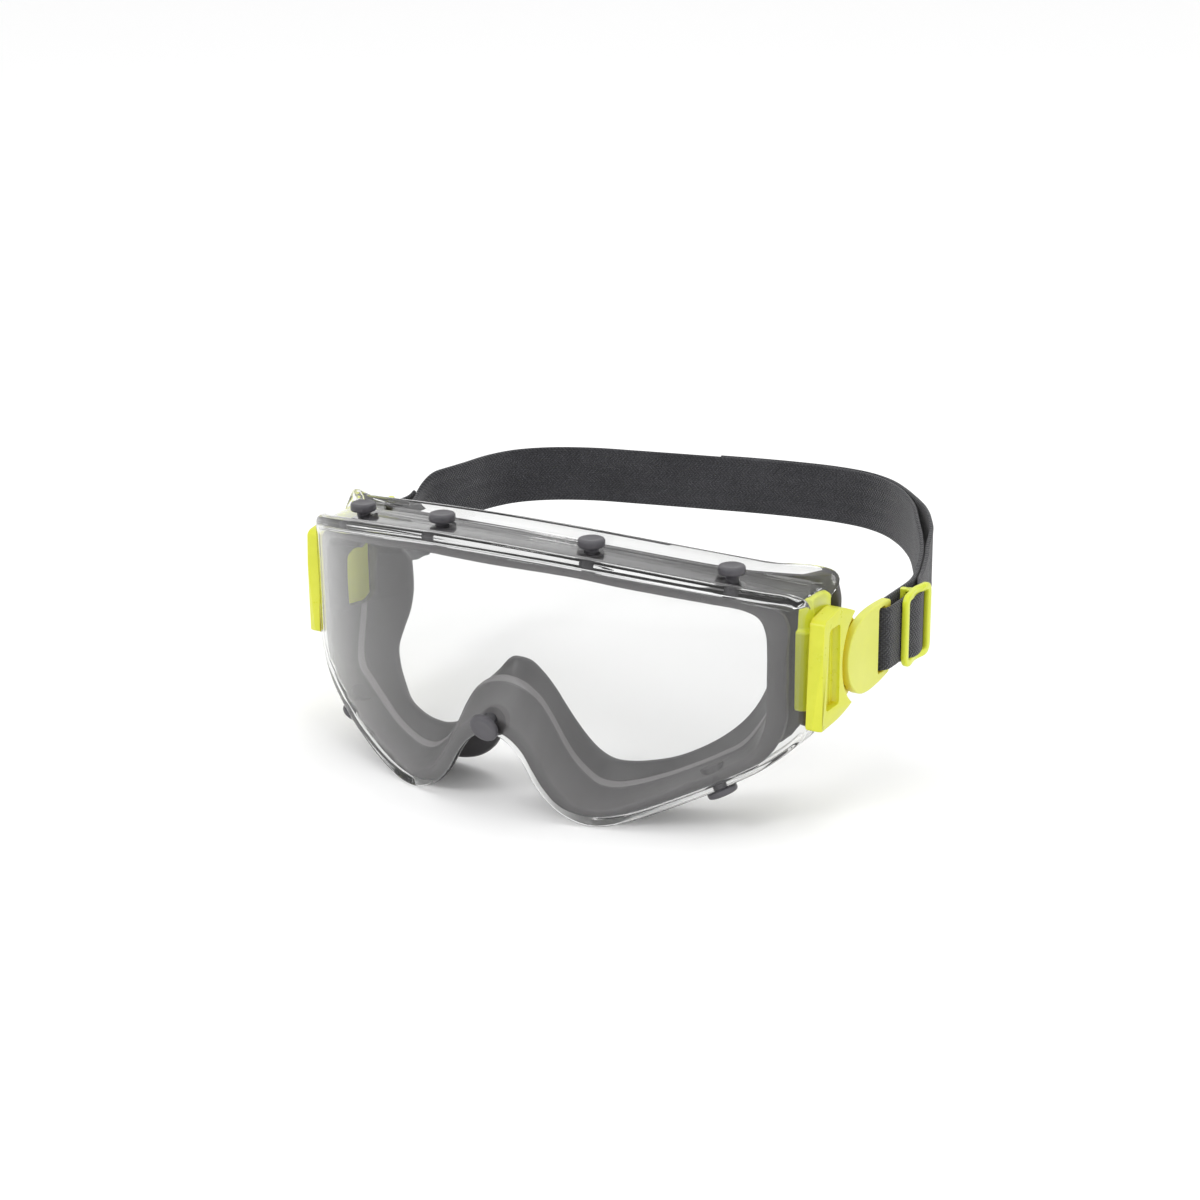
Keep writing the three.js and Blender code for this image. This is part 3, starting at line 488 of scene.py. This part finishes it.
def patch(col, radius, base_index):
    """Fills the inside of one ring with a fine mesh that lies on the cylinder."""
    loop = [Vector((rings[i][col][0], rings[i][col][2])) for i in range(nS)]
    P2 = np.array([tuple(p) for p in loop])
    xs = np.arange(-86, 86.1, 2.4)
    zs = np.arange(-46, 38, 4.0)
    inner = []
    nxt = np.roll(P2, -1, 0)
    for x in xs:
        for z in zs:
            c = ((P2[:, 1] > z) != (nxt[:, 1] > z)) & (x < (nxt[:, 0] - P2[:, 0]) * (z - P2[:, 1]) / (nxt[:, 1] - P2[:, 1] + 1e-12) + P2[:, 0])
            if c.sum() % 2 == 0:
                continue
            if np.min(np.hypot(P2[:, 0] - x, P2[:, 1] - z)) < 1.6:
                continue
            inner.append(Vector((float(x), float(z))))
    pts = loop + inner
    edges = [(i, (i + 1) % nS) for i in range(nS)]
    ov, oe, of_, origv, _, _ = delaunay_2d_cdt(pts, edges, [], 1, 1e-5)
    start = len(verts)
    idx = {}
    for i, p in enumerate(ov):
        src = [k for k in origv[i] if k < nS]
        if src:
            idx[i] = src[0] * nP + col
        else:
            idx[i] = len(verts)
            verts.append((p.x, ycyl(p.x, radius), p.y))
    for f in of_:
        faces.append(tuple(idx[k] for k in f))

patch(0, LENS_R, 0)
patch(nP - 1, LENS_R - LENS_T, 0)
visor = make("visor", [V(v) for v in verts], faces, M_LENS, sharp=38)
place(visor, "goggles", "visor_clear", "visor_lens")

# ------------------------------------------------------------------ face frame
ST = [
    ((0, 33.2), (0, 30), (0, 13, 30.2), (0, 24.5, 28.4), (0, 23.8, 32.2)),
    ((14, 32.9), (14, 29.9), (14, 13.8, 30), (14, 25, 28.2), (14, 24.6, 31.9)),
    ((28, 31.8), (28, 29.2), (27.5, 16, 29.2), (27, 27, 27.2), (28, 27, 31)),
    ((42, 29.8), (41, 27.2), (40, 20, 27.3), (39, 31, 25), (42, 31.3, 29.2)),
    ((55, 27.6), (54, 25), (52, 25, 25), (50, 36, 22.4), (55, 37, 27)),
    ((66, 25), (64.5, 22.8), (61.5, 31, 22.6), (58, 42, 19.2), (66, 43.4, 25.2)),
    ((75, 22.6), (72.5, 20.6), (69, 37, 19.4), (63.3, 48.5, 15.2), (77, 50.4, 24.4)),
    ((80.4, 20), (76, 18), (73.3, 41, 15.5), (65.8, 53.5, 10.8), (85.6, 56.4, 23.8)),
    ((82.6, 15.5), (77.6, 13.5), (75.2, 43, 10.5), (66.9, 56.3, 6), (87.6, 57.4, 18.6)),
    ((82.6, 8), (78, 7), (75.8, 43.5, 5), (67.1, 57, 1.5), (87.7, 57.5, 11)),
    ((82.6, 0), (78, -0.5), (75.8, 43.5, -1), (67.1, 57.2, -2), (87.7, 57.5, 1)),
    ((82.6, -7.5), (78, -7), (75.5, 42.8, -6.5), (66.9, 56.6, -6.5), (87.7, 57.3, -7)),
    ((82.6, -13.8), (78, -12.6), (74.8, 41, -12.2), (66.4, 54, -11.6), (86.6, 56.4, -14)),
    ((81.2, -20.2), (77.2, -18), (72.6, 36.8, -18.6), (65.8, 49.5, -16.2), (82.5, 53.5, -21)),
    ((76.9, -27.3), (74.6, -24.6), (69, 32.6, -23.9), (64, 43.6, -20.6), (75.5, 48.5, -27.4)),
    ((69.4, -31.6), (67.8, -28.6), (62.5, 29.3, -28), (60, 38.6, -24.8), (68, 43, -32.8)),
    ((59.8, -36.2), (58.4, -33.4), (55, 25.3, -31.7), (54.5, 33.4, -28.4), (60.5, 37.8, -37.2)),
    ((50.8, -40.4), (49.4, -37.8), (47.5, 21.3, -34.8), (48.5, 28, -30.8), (53, 33, -41)),
    ((43.2, -43.6), (42.2, -41), (40.5, 18.7, -37.2), (42.2, 24.4, -32.1), (45.5, 29.5, -44.2)),
    ((37.4, -45.7), (36.8, -43.2), (34.7, 16.8, -38.4), (36.3, 22.2, -32.8), (38, 27.5, -46.2)),
    ((31.8, -45.8), (32.3, -43.4), (29.6, 15.7, -37.9), (30.2, 21.6, -32.9), (30, 26.5, -46.4)),
    ((26.8, -45.3), (28.4, -42.9), (25.2, 14.9, -34.8), (25.2, 21.8, -31.2), (22, 26, -44.4)),
    ((21.9, -43.5), (24.4, -41), (21.3, 14.1, -30.5), (21, 21.8, -27.9), (16, 25.5, -40.2)),
    ((17.3, -39.2), (20.6, -37), (18.1, 13.4, -25.2), (17.2, 21.2, -23.1), (12, 24.5, -34.4)),
    ((13.4, -33.4), (17, -31.4), (15, 12.9, -19.4), (13.9, 20.5, -18.1), (9.4, 23.5, -28.4)),
    ((10, -27.9), (13.4, -25.4), (11.2, 12.5, -14), (10.6, 20, -13.1), (7.4, 22.5, -22.6)),
    ((6, -24.4), (8.6, -20.8), (6.9, 12.3, -10.8), (6.7, 19.5, -8.5), (5, 21.2, -17.6)),
    ((2.9, -23.1), (3.8, -18.8), (3.2, 12.4, -9.6), (3.2, 18.2, -4.9), (2.4, 20.2, -14.8)),
    ((0, -22.8), (0, -18.4), (0, 12.5, -9.3), (0, 17.2, -4), (0, 19.8, -14)),
]
NF = 720
def track(k):
    if k < 2:
        half = [(s[k][0], s[k][1]) for s in ST]
    else:
        half = [s[k] for s in ST]
    return catmull(mirror(half), NF)
T0, T1, TK, TE, TR = (track(k) for k in range(5))
FR = LENS_R - LENS_T - 0.4
WALL, SEAL = 2.3, 2.6
rings = []
for i in range(NF):
    p0, p1, k, e, r = T0[i], T1[i], TK[i], TE[i], TR[i]
    out = np.array([p0[0] - p1[0], 0, p0[1] - p1[1]])
    lw = np.linalg.norm(out)
    out /= lw
    a = np.array([p0[0], ycyl(p0[0], FR), p0[1]])
    b = np.array([p1[0], ycyl(p1[0], FR), p1[1]])
    Y = np.array([0, 1.0, 0])
    back = np.array([r[0] - e[0], 0, r[2] - e[2]])
    lb = np.linalg.norm(back)
    wb = min(3.2, 0.66 * lb)
    wr = e + back / lb * wb + Y * (0.5 + wb * (r[1] - e[1]) / lb)
    dk = (b - k) / np.linalg.norm(b - k)
    de = (e - k) / np.linalg.norm(e - k)
    dn = -out                                      # towards the open middle
    poly = [a, b, k + dk * 1.5, k + dk * 0.75 + dn * 0.42, k + de * 0.6 + dn * 0.42, k + de * 1.5 + dn * 0.02, e, e + Y * SEAL, r + Y * SEAL, r, wr, k + out * WALL + Y * 0.8, b + out * min(WALL, 0.75 * lw) + Y * 2.2, a + Y * 2.0]
    rad = [0.5, 0.7, 0.5, 0.5, 0.5, 0.5, 1.1, 1.1, 1.2, 1.1, min(1.6, 0.3 * lb), 3.0, 0.8, 0.6]
    rings.append(round_poly(poly, rad, 4))
verts = [V(p) for r in rings for p in r]
fr = make("face_frame_moulding", verts, ring_faces(NF, len(rings[0])), M_FRAME, sharp=60)
# how the wall's colour changes across its section: (painted highlight on the crease, painted shade in the funnel) for
# each corner of the section
CREASE_HIGHLIGHT_FUNNEL_SHADE = [(0.0, 0.1), (0.35, 0.0), (0.0, 0.0), (1.0, 0.0), (1.0, 0.0), (0.0, 0.55), (0.0, 0.75), (0.0, 0.2), (0, 0), (0, 0), (0, 0), (0, 0), (0, 0), (0, 0)]
lay = fr.data.uv_layers.new(name="tone")
nr = len(rings[0])
for l in fr.data.loops:
    lay.data[l.index].uv = CREASE_HIGHLIGHT_FUNNEL_SHADE[(l.vertex_index % nr) // 5]
# window in each side wall in front of the anchor
for s in (1, -1):
    n_ = 6
    wp = [(37, -6.6), (44.8, -6.6), (47.6, -3.8), (47.6, 14.6), (40.4, 14.6), (37, 11)]
    rw = []
    for i in range(6):
        p, q0, q1 = (np.array(wp[i]), np.array(wp[i - 1]), np.array(wp[(i + 1) % 6]))
        u0, u1 = (q0 - p) / np.linalg.norm(q0 - p), (q1 - p) / np.linalg.norm(q1 - p)
        for k in range(n_ + 1):
            t = k / n_
            rw.append(tuple((1 - t) ** 2 * (p + u0 * 1.1) + 2 * t * (1 - t) * p + t * t * (p + u1 * 1.1)))
    boolean(fr, prism_x("w", rw, s * 72 if s > 0 else -81.6, 81.6 if s > 0 else -72, M_FRAME))
# bosses that take the peg plugs
def boss(base, d, r, h):
    return lathe("boss", [(0, 0), (r - 0.2, 0), (r, 0.2), (r, h - 0.3), (r - 0.3, h), (2.45, h), (2.45, h - 2.2), (0, h - 2.2)], base, d, M_FRAME, 48, sharp=45)
for (x, y) in ((-65.8, 31.1), (-26.4, 17.6), (26.4, 17.6), (65.8, 31.1)):
    zu = topz(x) - 1.8 - 1.8 - 0.4 - 4.1 * 2 * TOP_DROP * abs(x) / HALF_W ** 2
    low = 4.0 if abs(x) > 40 else 3.4
    o = boss(Vector((x, y, zu - low)), Vector((0, 0, 1)), 4.1, low)
    place(o, "goggles", "frame_rubber", "face_frame")
place(fr, "goggles", "frame_rubber", "face_frame")

# ------------------------------------------------------------------ peg plugs
TOPS = [(-65.8, 31.1), (-26.4, 17.6), (26.4, 17.6), (65.8, 31.1)]
PN = ["plug_top_outer_left", "plug_top_inner_left", "plug_top_inner_right", "plug_top_outer_right"]
NOSE_P, NOSE_N = Vector((0, 0, -19.4)), Vector((0, -0.94, -0.342)).normalized()
def bot(s):
    return Vector((s * 66.2, 24.2, -35.66)), Vector((s * 0.44, 0, -0.898)).normalized()
for s in (1, -1):
    b_, d_ = bot(s)
    place(boss(b_ - d_ * (1.7 + 0.4 + 0.75 + 4.6), d_, 3.6, 4.6), "goggles", "frame_rubber", "face_frame")
def plug(name, base, d, neck, node, R=4.7, T=2.3):
    prof = [(0, -neck), (1.6, -neck), (1.95, -neck + 0.12), (2.1, -neck + 0.45), (2.1, 0.0), (2.2, 0.18), (2.5, 0.3),
            (R - 0.55, 0.3), (R - 0.2, 0.38), (R - 0.03, 0.62), (R, 0.95), (R, T - 0.85), (R - 0.06, T - 0.5), (R - 0.28, T - 0.18), (R - 0.65, T - 0.02),
            (R - 1.1, T + 0.02), (R - 1.6, T - 0.03), (R - 2.2, T - 0.1), (1.2, T - 0.14), (0, T - 0.15)]
    o = lathe(name, prof, base, d, M_PLUG, 72, sharp=60)
    return place(o, "goggles", "plug_rubber", node)
for (x, y), nm in zip(TOPS, PN):
    slope = 2 * TOP_DROP * x / HALF_W ** 2
    lift = abs(slope) * 4.1
    plug(nm + "_v", Vector((x, y, topz(x) - 1.8 + lift)), Vector((0, 0, 1)), 3.6 + lift, nm, 4.1, 2.8)
plug("plug_nose_v", NOSE_P + NOSE_N * 1.3, NOSE_N, 4.6, "plug_nose")
for s, nm in ((-1, "plug_bottom_left"), (1, "plug_bottom_right")):
    b, d = bot(s)
    plug(nm + "_v", b, d, 3.4, nm)

# ------------------------------------------------------------------ side pieces
def arc(cy, cz, r, a0, a1, n):
    return [(cy + r * math.cos(math.radians(a0 + (a1 - a0) * i / n)), cz + r * math.sin(math.radians(a0 + (a1 - a0) * i / n))) for i in range(n + 1)]

def fillet(pts, radii, seg=6):
    """Rounded 2D polygon."""
    out = []
    n = len(pts)
    for i in range(n):
        p = np.array(pts[i], float)
        a, b = np.array(pts[i - 1], float), np.array(pts[(i + 1) % n], float)
        r = radii[i] if isinstance(radii, (list, tuple)) else radii
        if r <= 0:
            out.append(tuple(p))
            continue
        da, db = np.linalg.norm(a - p), np.linalg.norm(b - p)
        ra = min(r, 0.45 * da, 0.45 * db)
        p1, p2 = p + (a - p) / da * ra, p + (b - p) / db * ra
        for k in range(seg + 1):
            t = k / seg
            q = (1 - t) ** 2 * p1 + 2 * t * (1 - t) * p + t * t * p2
            out.append((q[0], q[1]))
    return out

def xs(s, a, b):
    return (a, b) if s > 0 else (-b, -a)

for s in (1, -1):
    tag = "right" if s > 0 else "left"
    # anchor plate and tongue
    pl = fillet([(39.4, -13.2), (55.4, -13.2), (55.4, 19), (51, 20.4), (43, 20.4), (42, 11.8), (39.4, 11.8)], [1.3, 1.4, 1.4, 1.5, 1.2, 0.6, 1], 4)
    a = prism_x(f"anchor_{tag}", pl, *xs(s, 82.4, 85.8), M_ANCH)
    bevel(a, 0.5, 3)
    t = prism_x("t", fillet([(40.2, -8), (44.8, -8), (44.8, 8), (40.2, 8)], 0.8, 4), *xs(s, 85.2, 90.3), M_ANCH)
    boolean(a, t, "UNION")
    place(a, "goggles", "anchor_plastic", f"side_anchor_{tag}")

    # buckle housing: angled front facet, peaked top edge, deep slot, round scoop for the clip
    block = fillet([(34.8, -17.2), (46.4, -16.7), (53, -15.6), (60, -13.4), (60, 13.0), (56, 15), (49.6, 17.6), (46.5, 18.1), (38.2, 16.8), (36.8, 15.6)],
                   [1.6, 3, 3, 0, 0, 2.5, 1.4, 1.4, 1.6, 0.6], 6)
    h = prism_x(f"housing_{tag}", block, *xs(s, 88.4, 93.2), M_HOUS)
    boolean(h, prism_x("c", arc(PIV[0], PIV[1], 17.0, 0, 360 - 4, 89), *xs(s, 80, 100), M_HOUS))
    boolean(h, make("w", [V((s * X, Y, Z)) for Z in (-30, 30) for X, Y in ((95.4, 30), (95.4, 37.3), (88.6, 34.0), (88.6, 30))],
                    [(0, 1, 2, 3), (7, 6, 5, 4), (0, 4, 5, 1), (1, 5, 6, 2), (2, 6, 7, 3), (3, 7, 4, 0)], M_HOUS, sharp=None))
    boolean(h, prism_x("c", fillet([(38.9, -11.8), (47.6, -11.8), (47.6, 13.2), (40.6, 13.2)], 1.4, 6), *xs(s, 90.4, 96), M_HOUS))
    bevel(h, 0.5, 4, angle=20)
    tail = fillet([(46, -15.6), (53, -14.9), (59, -12.9), (63, -9.5), (66, -6.4), (68.5, -5.8), (71, -4.3), (72.3, -0.5), (71, 3.4), (68.5, 4.9), (66, 5.5), (63, 9), (59, 12.5), (55, 14.4), (46, 16.6)],
                  [0.5, 2, 2, 2, 2, 1.5, 2, 2, 2, 1.5, 2, 2, 2, 1, 1], 5)
    tl = prism_x("t", tail, *xs(s, 88.5, 90.8), M_HOUS)
    bevel(tl, 0.35, 3, angle=32)
    boolean(h, tl, "UNION")
    for p in h.data.polygons:
        p.use_smooth = True
    h.data.set_sharp_from_angle(angle=math.radians(42))
    place(h, "goggles", "housing_plastic", f"buckle_housing_{tag}")

    # pin
    prof = [(0, 0), (3.6, 0), (4.1, 0.15), (4.4, 0.55), (4.4, 1.3), (4.2, 1.6), (3.9, 1.7), (2.35, 1.7), (2.2, 1.85), (2.2, 6.4), (2.0, 6.75), (1.6, 6.8), (0, 6.8)]
    pn = lathe(f"pin_{tag}", prof, Vector((s * 86.4, PIV[0], PIV[1])), Vector((s, 0, 0)), M_PIN, 48)
    place(pn, "goggles", "pin_plastic", f"pivot_pin_{tag}")

    # strap clip: crowned disc running into a straight strap bar
    leaf = catmull([(79.6, 11.2), (74, 11.5), (68, 11.5), (63, 10.9), (59, 9.7), (56, 8), (53.8, 5.7), (52.5, 3), (52, 0.2), (52.2, -2.9), (53.2, -6.1), (55, -9), (57.6, -11.5),
                    (60.8, -13.2), (64.6, -14), (69, -14.1), (75, -13.6), (79.6, -12.9)], 72, closed=False)
    prof = [tuple(p) for p in leaf[:-1]] + [(80.2, -12.75), (80.8, -12.55), (81.2, -12.2), (81.4, -11.7), (81.4, 10.2), (81.2, 10.65), (80.8, 10.95), (80.2, 11.1)]
    c = prism_x(f"clip_{tag}", prof, *xs(s, 91.2, 94.0), M_CLIP)
    boolean(c, prism_x("c", fillet([(73.2, -11), (77.4, -11), (77.4, 9.9), (73.2, 9.9)], 0.9, 5), *xs(s, 85, 99), M_CLIP))
    bevel(c, 0.6, 4, angle=30)
    place(c, f"clip_{tag}", "clip_plastic", f"strap_clip_{tag}")

# slider: one moulded ring whose rails dip over the webbing, and a centre bar under its outer layer
SPLAY, SPX, SPY = math.radians(18), -90.3, 82.0
def splay(x, y):
    dx, dy = x - SPX, y - SPY
    return (SPX + dx * math.cos(SPLAY) - dy * math.sin(SPLAY), SPY + dx * math.sin(SPLAY) + dy * math.cos(SPLAY))
def side_point(s, x, y, z):
    """Point in the right slider's own frame, laid on either strap end."""
    if s > 0:
        return V((x, y, z))
    q = splay(-x, y)
    return V((q[0], q[1], z))
def slider_mesh(s, tag):
    zc, yc = -0.5, 93.4
    hy, hz = 9.3 - 1.15, 11.8 - 1.05
    cor = 2.6
    loop = fillet([(yc - hy, zc - hz), (yc + hy, zc - hz), (yc + hy, zc + hz), (yc - hy, zc + hz)], cor, 10)
    loop = resample(np.array(loop), 0.4)
    nrm = outward(loop)
    def xoff(y):
        t = min(1.0, abs(y - yc) / hy)
        return 97.25 - 0.75 * (1 - smooth(t, 0.05, 0.75))
    v = []
    m = 20
    for (y, z), n in zip(loop, nrm):
        x = xoff(y)
        for k in range(m):
            a = 2 * math.pi * k / m
            ca, sa = math.cos(a), math.sin(a)
            u = math.copysign(abs(ca) ** 0.55, ca) * 1.15
            w = math.copysign(abs(sa) ** 0.55, sa) * 1.02
            v.append(side_point(s, x + w, y + n[0] * u, z + n[1] * u))
    o = make(f"slider_{tag}", v, ring_faces(len(loop), m), M_SLID, sharp=60)
    v, steps = [], 24
    for i in range(steps + 1):
        z = zc - hz - 0.3 + (2 * hz + 0.6) * i / steps
        for k in range(m):
            a = 2 * math.pi * k / m
            ca, sa = math.cos(a), math.sin(a)
            v.append(side_point(s, 92.85 + 1.1 * math.copysign(abs(sa) ** 0.7, sa), yc + 1.25 * math.copysign(abs(ca) ** 0.7, ca), z))
    f = ring_faces(steps + 1, m, False, True)
    f += [tuple(range(m)), tuple(range(steps * m + m - 1, steps * m - 1, -1))]
    boolean(o, make("b", v, f, M_SLID, sharp=60), "UNION")
    # the rails' underside reaches the centre bar
    for e in (1, -1):
        z0, z1 = sorted((zc + e * (hz - 0.7), zc + e * (hz + 0.15)))
        q = [(91.9, yc - 1.0), (91.9, yc + 1.0), (96.4, yc + 3.4), (96.4, yc - 0.6)]
        vv = [side_point(s, x, y, z) for z in (z0, z1) for x, y in q]
        lug = make("l", vv, [(0, 1, 2, 3), (7, 6, 5, 4), (0, 4, 5, 1), (1, 5, 6, 2), (2, 6, 7, 3), (3, 7, 4, 0)], M_SLID, sharp=None)
        bevel(lug, 0.2, 2)
        boolean(o, lug, "UNION")
    for p in o.data.polygons:
        p.use_smooth = True
    o.data.set_sharp_from_angle(angle=math.radians(50))
    return o
for s, tag in ((1, "right"), (-1, "left")):
    o = slider_mesh(s, tag)
    place(o, f"slider_{tag}", "slider_plastic", f"strap_slider_{tag}")

# ------------------------------------------------------------------ head strap
IN_X, OUT_X = 90.3, 95.2
ctl = [(IN_X, 101), (90.1, 104.5), (89.5, 108), (88.5, 112), (86.6, 118), (82.9, 129), (77.4, 140.6), (71.9, 150.3), (65.3, 162), (59.9, 169.8), (53.8, 177),
       (45, 184.5), (35, 189), (22, 190.3), (8, 189), (-8, 186.2), (-22, 183), (-35, 180), (-50, 176.4), (-66, 172.2), (-80, 165.4), (-89.5, 156.5),
       (-94.3, 146), (-96.4, 134), (-98.6, 123), (-99.8, 117), splay(-IN_X, 112), splay(-IN_X, 106)]
main = catmull(ctl, 700, closed=False)
def normals(p):
    t = np.gradient(p, axis=0)
    t /= np.linalg.norm(t, axis=1)[:, None]
    return np.stack([t[:, 1], -t[:, 0]], 1)
mn = normals(main)
tail = []
for p, n in zip(main, mn):
    if p[0] < -20:
        break
    d = 1.75
    if p[0] > 45:
        d += 3.15 * (1 - smooth(p[1], 99, 109)) + 2.35 * smooth(p[1], 131, 148) * (1 - smooth(p[1], 152, 178))
    tail.append(p + n * d)
fold = lambda s: [(s * x, y) for x, y in ((90.15, 79.2), (90.1, 77.2), (91.0, 75.6), (92.6, 75.0), (94.2, 75.6), (95.1, 77.2), (OUT_X, 79.2))]
path = [tuple(p) for p in tail[::-1]] + [(OUT_X, 97), (OUT_X, 92), (OUT_X, 86), (OUT_X, 82)] + fold(1)[::-1] + [(IN_X, 82), (IN_X, 90), (IN_X, 98)]
path += [tuple(p) for p in main] + [splay(-IN_X, 98), splay(-IN_X, 91), splay(-IN_X, 84.5), (-90.42, 82.1), (-90.2, 80.6)] + fold(-1)
path += [(-95.2, 80.1), (-95.32, 81.6), splay(-OUT_X, 84.5), splay(-OUT_X, 90), splay(-OUT_X, 98), splay(-OUT_X, 102.6), splay(-93.9, 105.4), splay(-92.5, 107.7), splay(-92.06, 109.4), splay(-92.05, 110.2)]
path = resample(np.array(path), 0.9, closed=False)
# light smoothing keeps the folds round
for _ in range(3):
    path[1:-1] = 0.25 * path[:-2] + 0.5 * path[1:-1] + 0.25 * path[2:]
def strap_z(x, y):
    return -0.5 + 5.5 * (smooth(y, 112, 165) if x > 0 else smooth(y, 102.5, 122))
def ribbon(name, path, body, width=20.0, thick=1.4, zfun=strap_z, cap=True):
    nn = normals(path)
    s_ = np.concatenate([[0], np.cumsum(np.linalg.norm(np.diff(path, axis=0), axis=1))])
    h, w = thick / 2, width / 2
    sec = []
    nw = 14
    for i in range(nw + 1):
        t = -1 + 2 * i / nw
        sec.append((t * (w - 0.45), h * (1.0 - 0.10 * (0 if abs(t) > 0.86 else 1))))
    sec += [(w - 0.12, h * 0.72), (w, 0.0), (w - 0.12, -h * 0.72)]
    for i in range(nw, -1, -1):
        t = -1 + 2 * i / nw
        sec.append((t * (w - 0.45), -h * (1.0 - 0.10 * (0 if abs(t) > 0.86 else 1))))
    sec += [(-w + 0.12, -h * 0.72), (-w, 0.0), (-w + 0.12, h * 0.72)]
    m = len(sec)
    verts, uvs = [], []
    for (x, y), n, s in zip(path, nn, s_):
        z = zfun(x, y)
        for a, b in sec:
            verts.append(V((x + n[0] * b, y + n[1] * b, z + a)))
            uvs.append((s * 1e-3, a * 1e-3))
    faces = ring_faces(len(path), m, False, True)
    faces += [tuple(range(m)), tuple(range((len(path) - 1) * m + m - 1, (len(path) - 1) * m - 1, -1))]
    o = make(name, verts, faces, M_WEB, sharp=50)
    lay = o.data.uv_layers.new(name="UVMap")
    for l in o.data.loops:
        lay.data[l.index].uv = uvs[l.vertex_index]
    return o
strap = ribbon("head_strap_webbing", path, "strap")
place(strap, "strap", "strap_webbing", "head_strap")
# the outer layer bulges over each slider's centre bar, between the end bars
for s, tag in ((1, "right"), (-1, "left")):
    yc = 93.4
    hump = []
    for i in range(41):
        t = -1 + 2 * i / 40
        hump.append((OUT_X + 0.3 + 2.1 * (math.cos(math.pi * t) * 0.5 + 0.5) ** 0.6, yc + t * 8.2))
    hump = np.array([(x, y) if s > 0 else splay(-x, y) for x, y in hump])
    if s > 0:
        hump = hump[::-1]
    b_ = ribbon(f"webbing_over_bar_{tag}", hump, "slider", width=20.02, thick=1.3, zfun=lambda x, y: -0.5)
    place(b_, f"slider_{tag}", "strap_webbing")

# ------------------------------------------------------------------ stage
floor_z = CAD_BOX[0].z - 0.0006
fm, nt = new_mat("floor")
out = N(nt, "ShaderNodeOutputMaterial")
b = N(nt, "ShaderNodeBsdfPrincipled")
b.inputs["Base Color"].default_value = (0.97, 0.97, 0.97, 1)
b.inputs["Roughness"].default_value = 0.7
b.inputs["Specular IOR Level"].default_value = 0.1
nt.links.new(b.outputs["BSDF"], out.inputs["Surface"])
me = bpy.data.meshes.new("floor")
S = 12
me.from_pydata([(-S, -S, floor_z), (S, -S, floor_z), (S, S, floor_z), (-S, S, floor_z)], [], [(0, 1, 2, 3)])
me.materials.append(fm)
fl = bpy.data.objects.new("floor", me)
SCN.collection.objects.link(fl)

w = bpy.data.worlds.new("studio")
SCN.world = w
w.use_nodes = True
bg = w.node_tree.nodes["Background"]
bg.inputs["Color"].default_value = (1, 1, 1, 1)
bg.inputs["Strength"].default_value = 1.0

def area(name, loc, target, size, power, spread=180):
    l = bpy.data.lights.new(name, "AREA")
    l.shape = "DISK"
    l.size = size
    l.energy = power
    o = bpy.data.objects.new(name, l)
    o.location = loc
    o.rotation_euler = (Vector(target) - Vector(loc)).to_track_quat("-Z", "Y").to_euler()
    SCN.collection.objects.link(o)
    return o
area("key", (-0.45, -0.9, 1.0), (0, 0.05, 0), 0.5, 4.0)
area("fill", (1.1, -0.5, 0.6), (0, 0.05, 0), 0.45, 2.0)
area("top", (0.1, 0.3, 1.3), (0, 0.05, 0), 0.6, 2.5)

# ------------------------------------------------------------------ camera
a_, e_, roll_, F_, D_ = 0.54126, 0.33165, -0.01256, 2534.2068, 805.83578
T_ = (0.54127, 65.10379, -0.13592)
ca, sa, ce, se = math.cos(a_), math.sin(a_), math.cos(e_), math.sin(e_)
rv = Vector((ca, sa, 0))
fv = Vector((-sa * ce, ca * ce, -se))
uv_ = rv.cross(fv)
cr, sr = math.cos(roll_), math.sin(roll_)
right, up = rv * cr + uv_ * sr, -rv * sr + uv_ * cr
cam = bpy.data.cameras.new("cam")
cam.sensor_fit = "HORIZONTAL"
cam.sensor_width = 36.0
cam.lens = 36.0 * F_ / 1200.0
cam.clip_start, cam.clip_end = 0.05, 60
co = bpy.data.objects.new("cam", cam)
loc = V(T_) - fv * (D_ * 1e-3)
R = Matrix((right, up, -fv)).transposed().to_4x4()
co.matrix_world = Matrix.Translation(loc) @ R
SCN.collection.objects.link(co)
SCN.camera = co
SCN.view_settings.view_transform = "Standard"
SCN.view_settings.look = "None"
